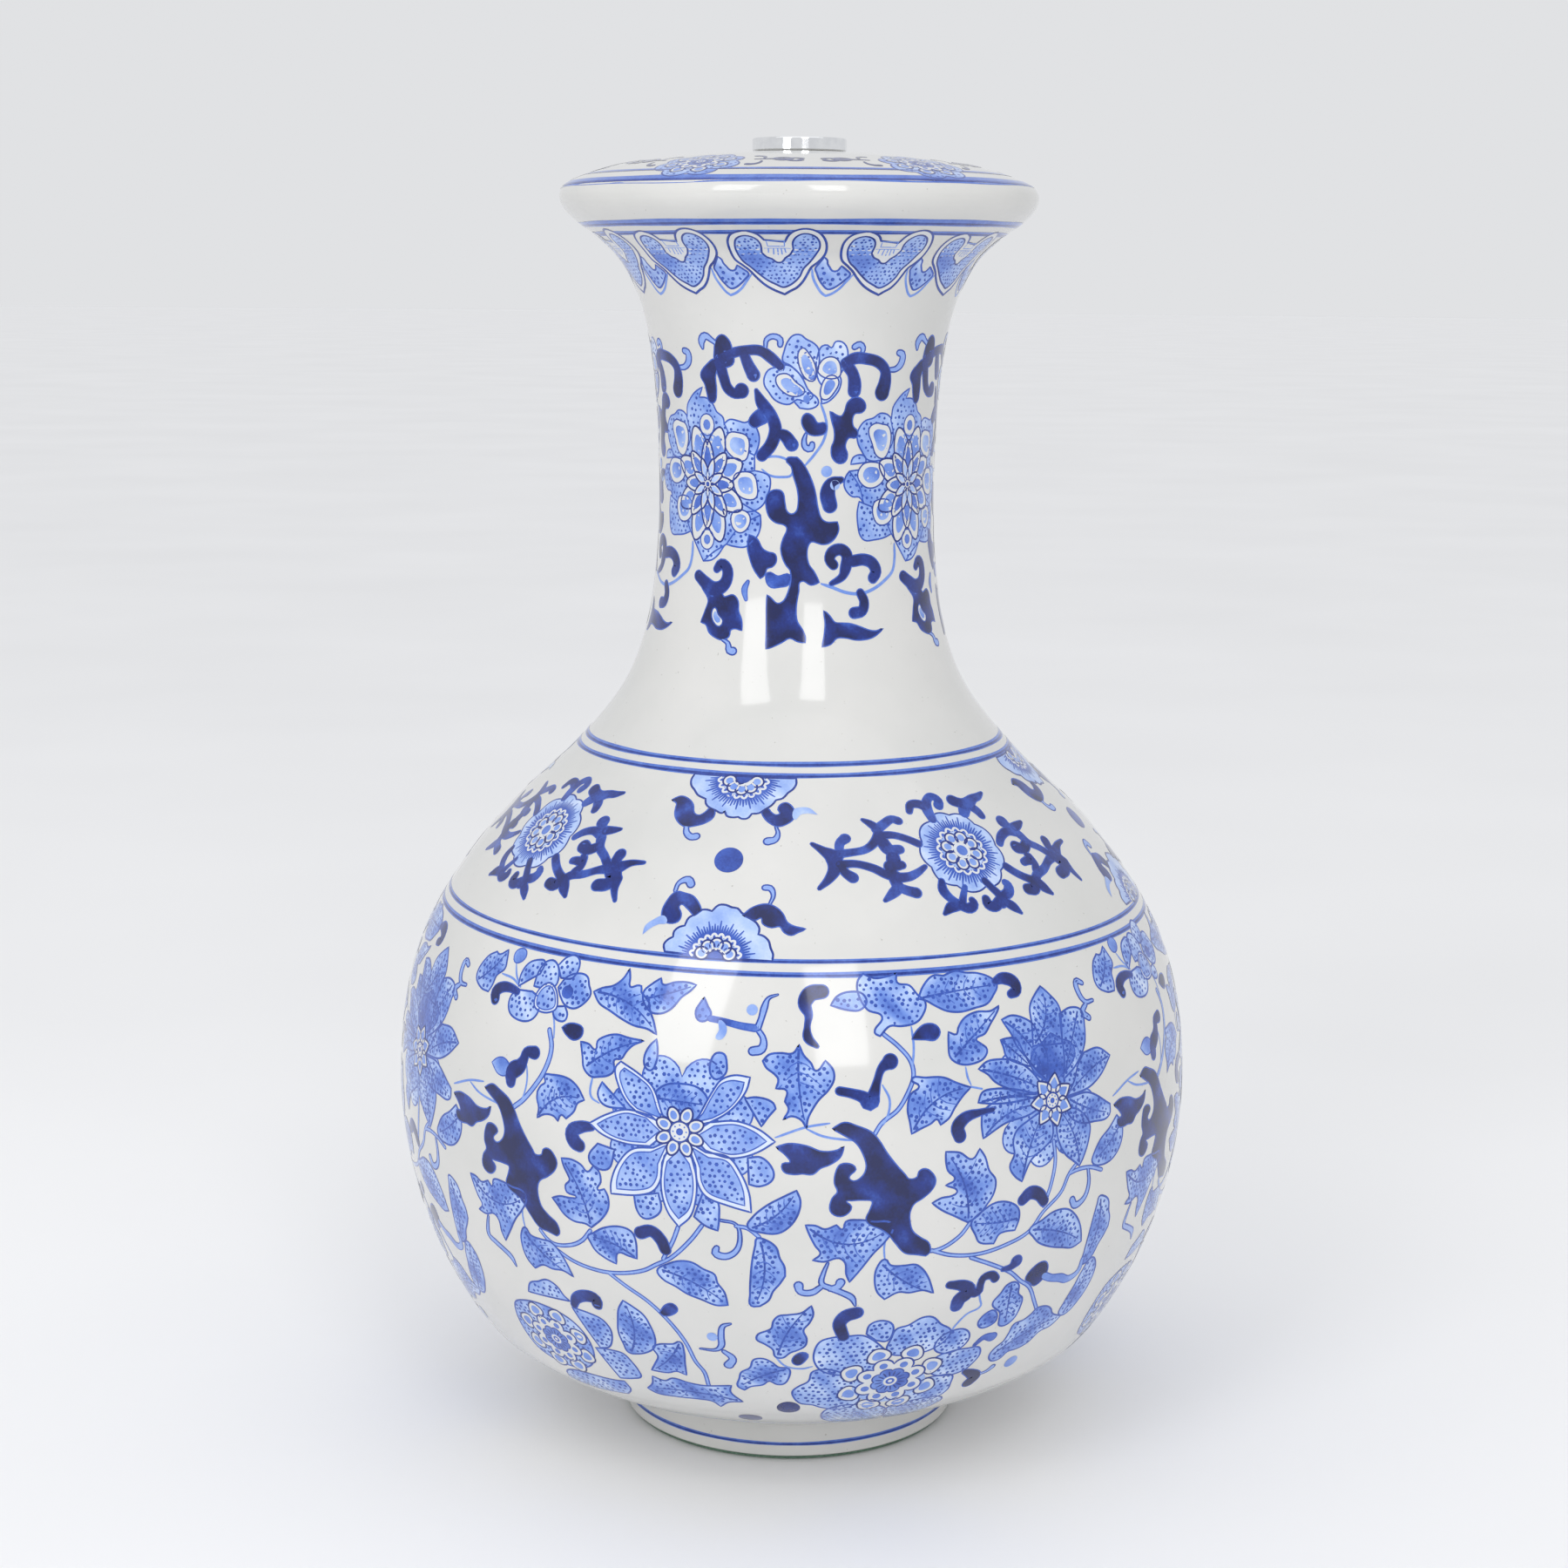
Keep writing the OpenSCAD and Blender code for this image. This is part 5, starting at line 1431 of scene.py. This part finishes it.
def make_body():
    """The hollow vase, its foot recess, the hole for the rod and the cord outlet at the back."""
    inner = np.array(INNER, float) + [0, BASE_Z]
    section = [(ROD_HOLE_R, CROWN_Z), (12, CROWN_Z)]
    section += [tuple(v) for v in WALL[::-1]]
    recess = [(RECESS_R + RECESS_EDGE, 0), (RECESS_R, RECESS_EDGE), (RECESS_R, 6),
              (RECESS_R, RECESS_TOP), (FLOOR_R, RECESS_TOP), (ROD_HOLE_R, RECESS_TOP),
              (ROD_HOLE_R, FLOOR_TOP), (FLOOR_R, FLOOR_TOP)]
    section += [(r, BASE_Z + z) for r, z in recess]
    section += [tuple(v) for v in inner] + [(ROD_HOLE_R, inner[-1][1])]
    body = lathe("porcelain_vase", section, BODY_SEGMENTS)
    turn_outwards(body.data)
    cut_hole(body, 40, 56, OUTLET_Z, 3.95, 4.35)
    body.data.polygons.foreach_set("use_smooth", [True] * len(body.data.polygons))
    body.data.set_sharp_from_angle(angle=math.radians(38))
    body.data.materials.clear()
    body.data.materials.append(glaze_material())
    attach(body, "root")
    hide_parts("vase_body")


make_body()


def finish_plane(plane, copies, material_for):
    """Turns the flat sheets of a band into pieces on the wall, repeated round the vase."""
    for pigment, sheet in plane.sheets.items():
        p = np.vstack(sheet["points"])
        lift = FIRST_LIFT + LIFT_STEP * np.concatenate(sheet["levels"])
        tones = np.tile(np.concatenate(sheet["tones"]), len(copies))
        angle = p[:, 0] / plane.radius
        verts, normals, faces = [], [], []
        for c, turn in enumerate(copies):
            v, n = on_wall(angle + math.radians(turn), p[:, 1], lift)
            verts.append(v)
            normals.append(n)
            faces += [tuple(i + c * len(p) for i in f) for f in sheet["faces"]]
        verts, normals = np.vstack(verts), np.vstack(normals)
        faces = face_outwards(verts, normals, faces)
        obj = new_object(f"{plane.name}_{pigment}", verts, faces, normals, tones)
        obj.data.materials.append(material_for[pigment])


def face_outwards(verts, normals, faces):
    """Flips the faces that look into the wall."""
    first = np.array([f[:3] for f in faces])
    a, b, c = verts[first[:, 0]], verts[first[:, 1]], verts[first[:, 2]]
    out = np.einsum("ij,ij->i", np.cross(b - a, c - a), normals[first[:, 0]]) < 0
    return [f[::-1] if flip else f for f, flip in zip(faces, out)]


# one mottled cobalt for each kind of brush work
INKS = {"wash": ink_material("blue_wash", 0.16), "navy": ink_material("cobalt", 0.22),
        "line": ink_material("ink_line", 0.2), "dots": ink_material("ink_dots", 0.15),
        "white": ink_material("bare_glaze", 0.06)}
for plane, copies in PLANES:
    finish_plane(plane, copies, INKS)

# ---------------------------------------------------------------- fittings
# the other solids keep the shape they have in the CAD and get a finish
FITTINGS = {
    "top_collar": metal("chrome", (0.86, 0.87, 0.88), (0.78, 0.79, 0.81), 0.07, 400),
    "collar_seal": soft("clear_washer", (0.55, 0.55, 0.53), (0.45, 0.45, 0.44), 0.4, 500, 0.0001),
    "top_lock_washer": metal("spring_steel", (0.6, 0.6, 0.62), (0.4, 0.4, 0.42), 0.3, 700, None, 0.00005),
    "top_nut": metal("brass", (0.83, 0.65, 0.33), (0.68, 0.5, 0.22), 0.22, 600, None, 0.00004),
    "lamp_rod": metal("zinc_rod", (0.72, 0.72, 0.7), (0.52, 0.52, 0.52), 0.35, 60, (1, 1, 18), 0.0003),
    "base_seal": soft("rubber", (0.035, 0.035, 0.036), (0.02, 0.02, 0.021), 0.65, 900, 0.0001),
    "base_plate": metal("plated_steel", (0.66, 0.67, 0.69), (0.5, 0.5, 0.52), 0.3, 300, None, 0.00005),
    "base_lock_washer": metal("washer_steel", (0.6, 0.6, 0.62), (0.38, 0.38, 0.4), 0.35, 700, None, 0.00005),
    "base_nut": metal("base_brass", (0.8, 0.62, 0.3), (0.62, 0.46, 0.2), 0.28, 600, None, 0.00004),
    "cord_grommet": soft("grommet_plastic", (0.82, 0.81, 0.78), (0.74, 0.73, 0.7), 0.35, 700, 0.00004),
    "foot_felt": soft("wool_felt", (0.13, 0.22, 0.16), (0.06, 0.12, 0.08), 0.95, 1600, 0.0004, 0.4),
}
for node, mat in FITTINGS.items():
    part = bpy.data.objects[node]
    for place in part.material_slots:
        place.material = mat
    if not part.material_slots:
        part.data.materials.append(mat)

# ---------------------------------------------------------------- floor, light and camera
FLOOR_REACH = 30
FLOOR_DROP = 0.0003


def stage_floor():
    """A round pale floor just under the felt, in metres."""
    n = 96
    mesh = bpy.data.meshes.new("floor")
    verts = [(FLOOR_REACH * math.cos(k * TURN / n), FLOOR_REACH * math.sin(k * TURN / n), -FLOOR_DROP)
             for k in range(n)]
    mesh.from_pydata(verts, [], [tuple(range(n))])
    floor = bpy.data.objects.new("floor", mesh)
    bpy.context.scene.collection.objects.link(floor)
    mat, tree, bsdf = shade("pale_floor", 0.7)
    pale = ramp(tree, noise(tree, 3, 2), [(0.3, (0.86, 0.86, 0.865)), (0.7, (0.89, 0.89, 0.895))])
    tree.links.new(pale, bsdf.inputs["Base Color"])
    mesh.materials.append(mat)


AIM = Vector((0, 0, 0.24))


def lamp(name, azimuth, elevation, distance, width, height, power):
    """A softbox aimed at the vase: azimuth in degrees right of the camera as seen from the vase."""
    a, e = math.radians(azimuth), math.radians(elevation)
    data = bpy.data.lights.new(name, "AREA")
    data.shape, data.size, data.size_y, data.energy = "RECTANGLE", width, height, power
    obj = bpy.data.objects.new(name, data)
    way = Vector((math.cos(e) * math.sin(a), -math.cos(e) * math.cos(a), math.sin(e)))
    obj.location = AIM + distance * way
    obj.rotation_euler = (obj.location - AIM).to_track_quat("Z", "Y").to_euler()
    bpy.context.scene.collection.objects.link(obj)


stage_floor()
lamp("softbox_left", -31, 27, 1.5, 0.46, 1.05, 5.6)
lamp("softbox_right", 14, 27, 1.6, 0.42, 1.05, 5.4)
skylight = bpy.data.lights.new("skylight", "SUN")
skylight.energy, skylight.angle = 0.35, math.radians(70)
above = bpy.data.objects.new("skylight", skylight)
above.location = (0, 0, 3)
bpy.context.scene.collection.objects.link(above)
world = bpy.data.worlds.new("studio")
bpy.context.scene.world = world
world.use_nodes = True
world.node_tree.nodes["Background"].inputs["Color"].default_value = (0.94, 0.95, 0.97, 1)
world.node_tree.nodes["Background"].inputs["Strength"].default_value = 0.8
bpy.context.scene.view_settings.view_transform = "Standard"

# the eye looks slightly down, and is turned and tilted by a fraction of a degree
EYE = (0, -0.8655, 0.3599)
LOOK_DOWN = 10.274
LOOK_LEFT = 0.207
TILT = 0.467
camera = bpy.data.cameras.new("camera")
camera.sensor_width, camera.lens = 36, 64.1
eye = bpy.data.objects.new("camera", camera)
bpy.context.scene.collection.objects.link(eye)
eye.matrix_world = (Matrix.Translation(EYE) @ Matrix.Rotation(math.radians(LOOK_LEFT), 4, "Z")
                    @ Matrix.Rotation(math.radians(90 - LOOK_DOWN), 4, "X")
                    @ Matrix.Rotation(math.radians(TILT), 4, "Z"))
bpy.context.scene.camera = eye
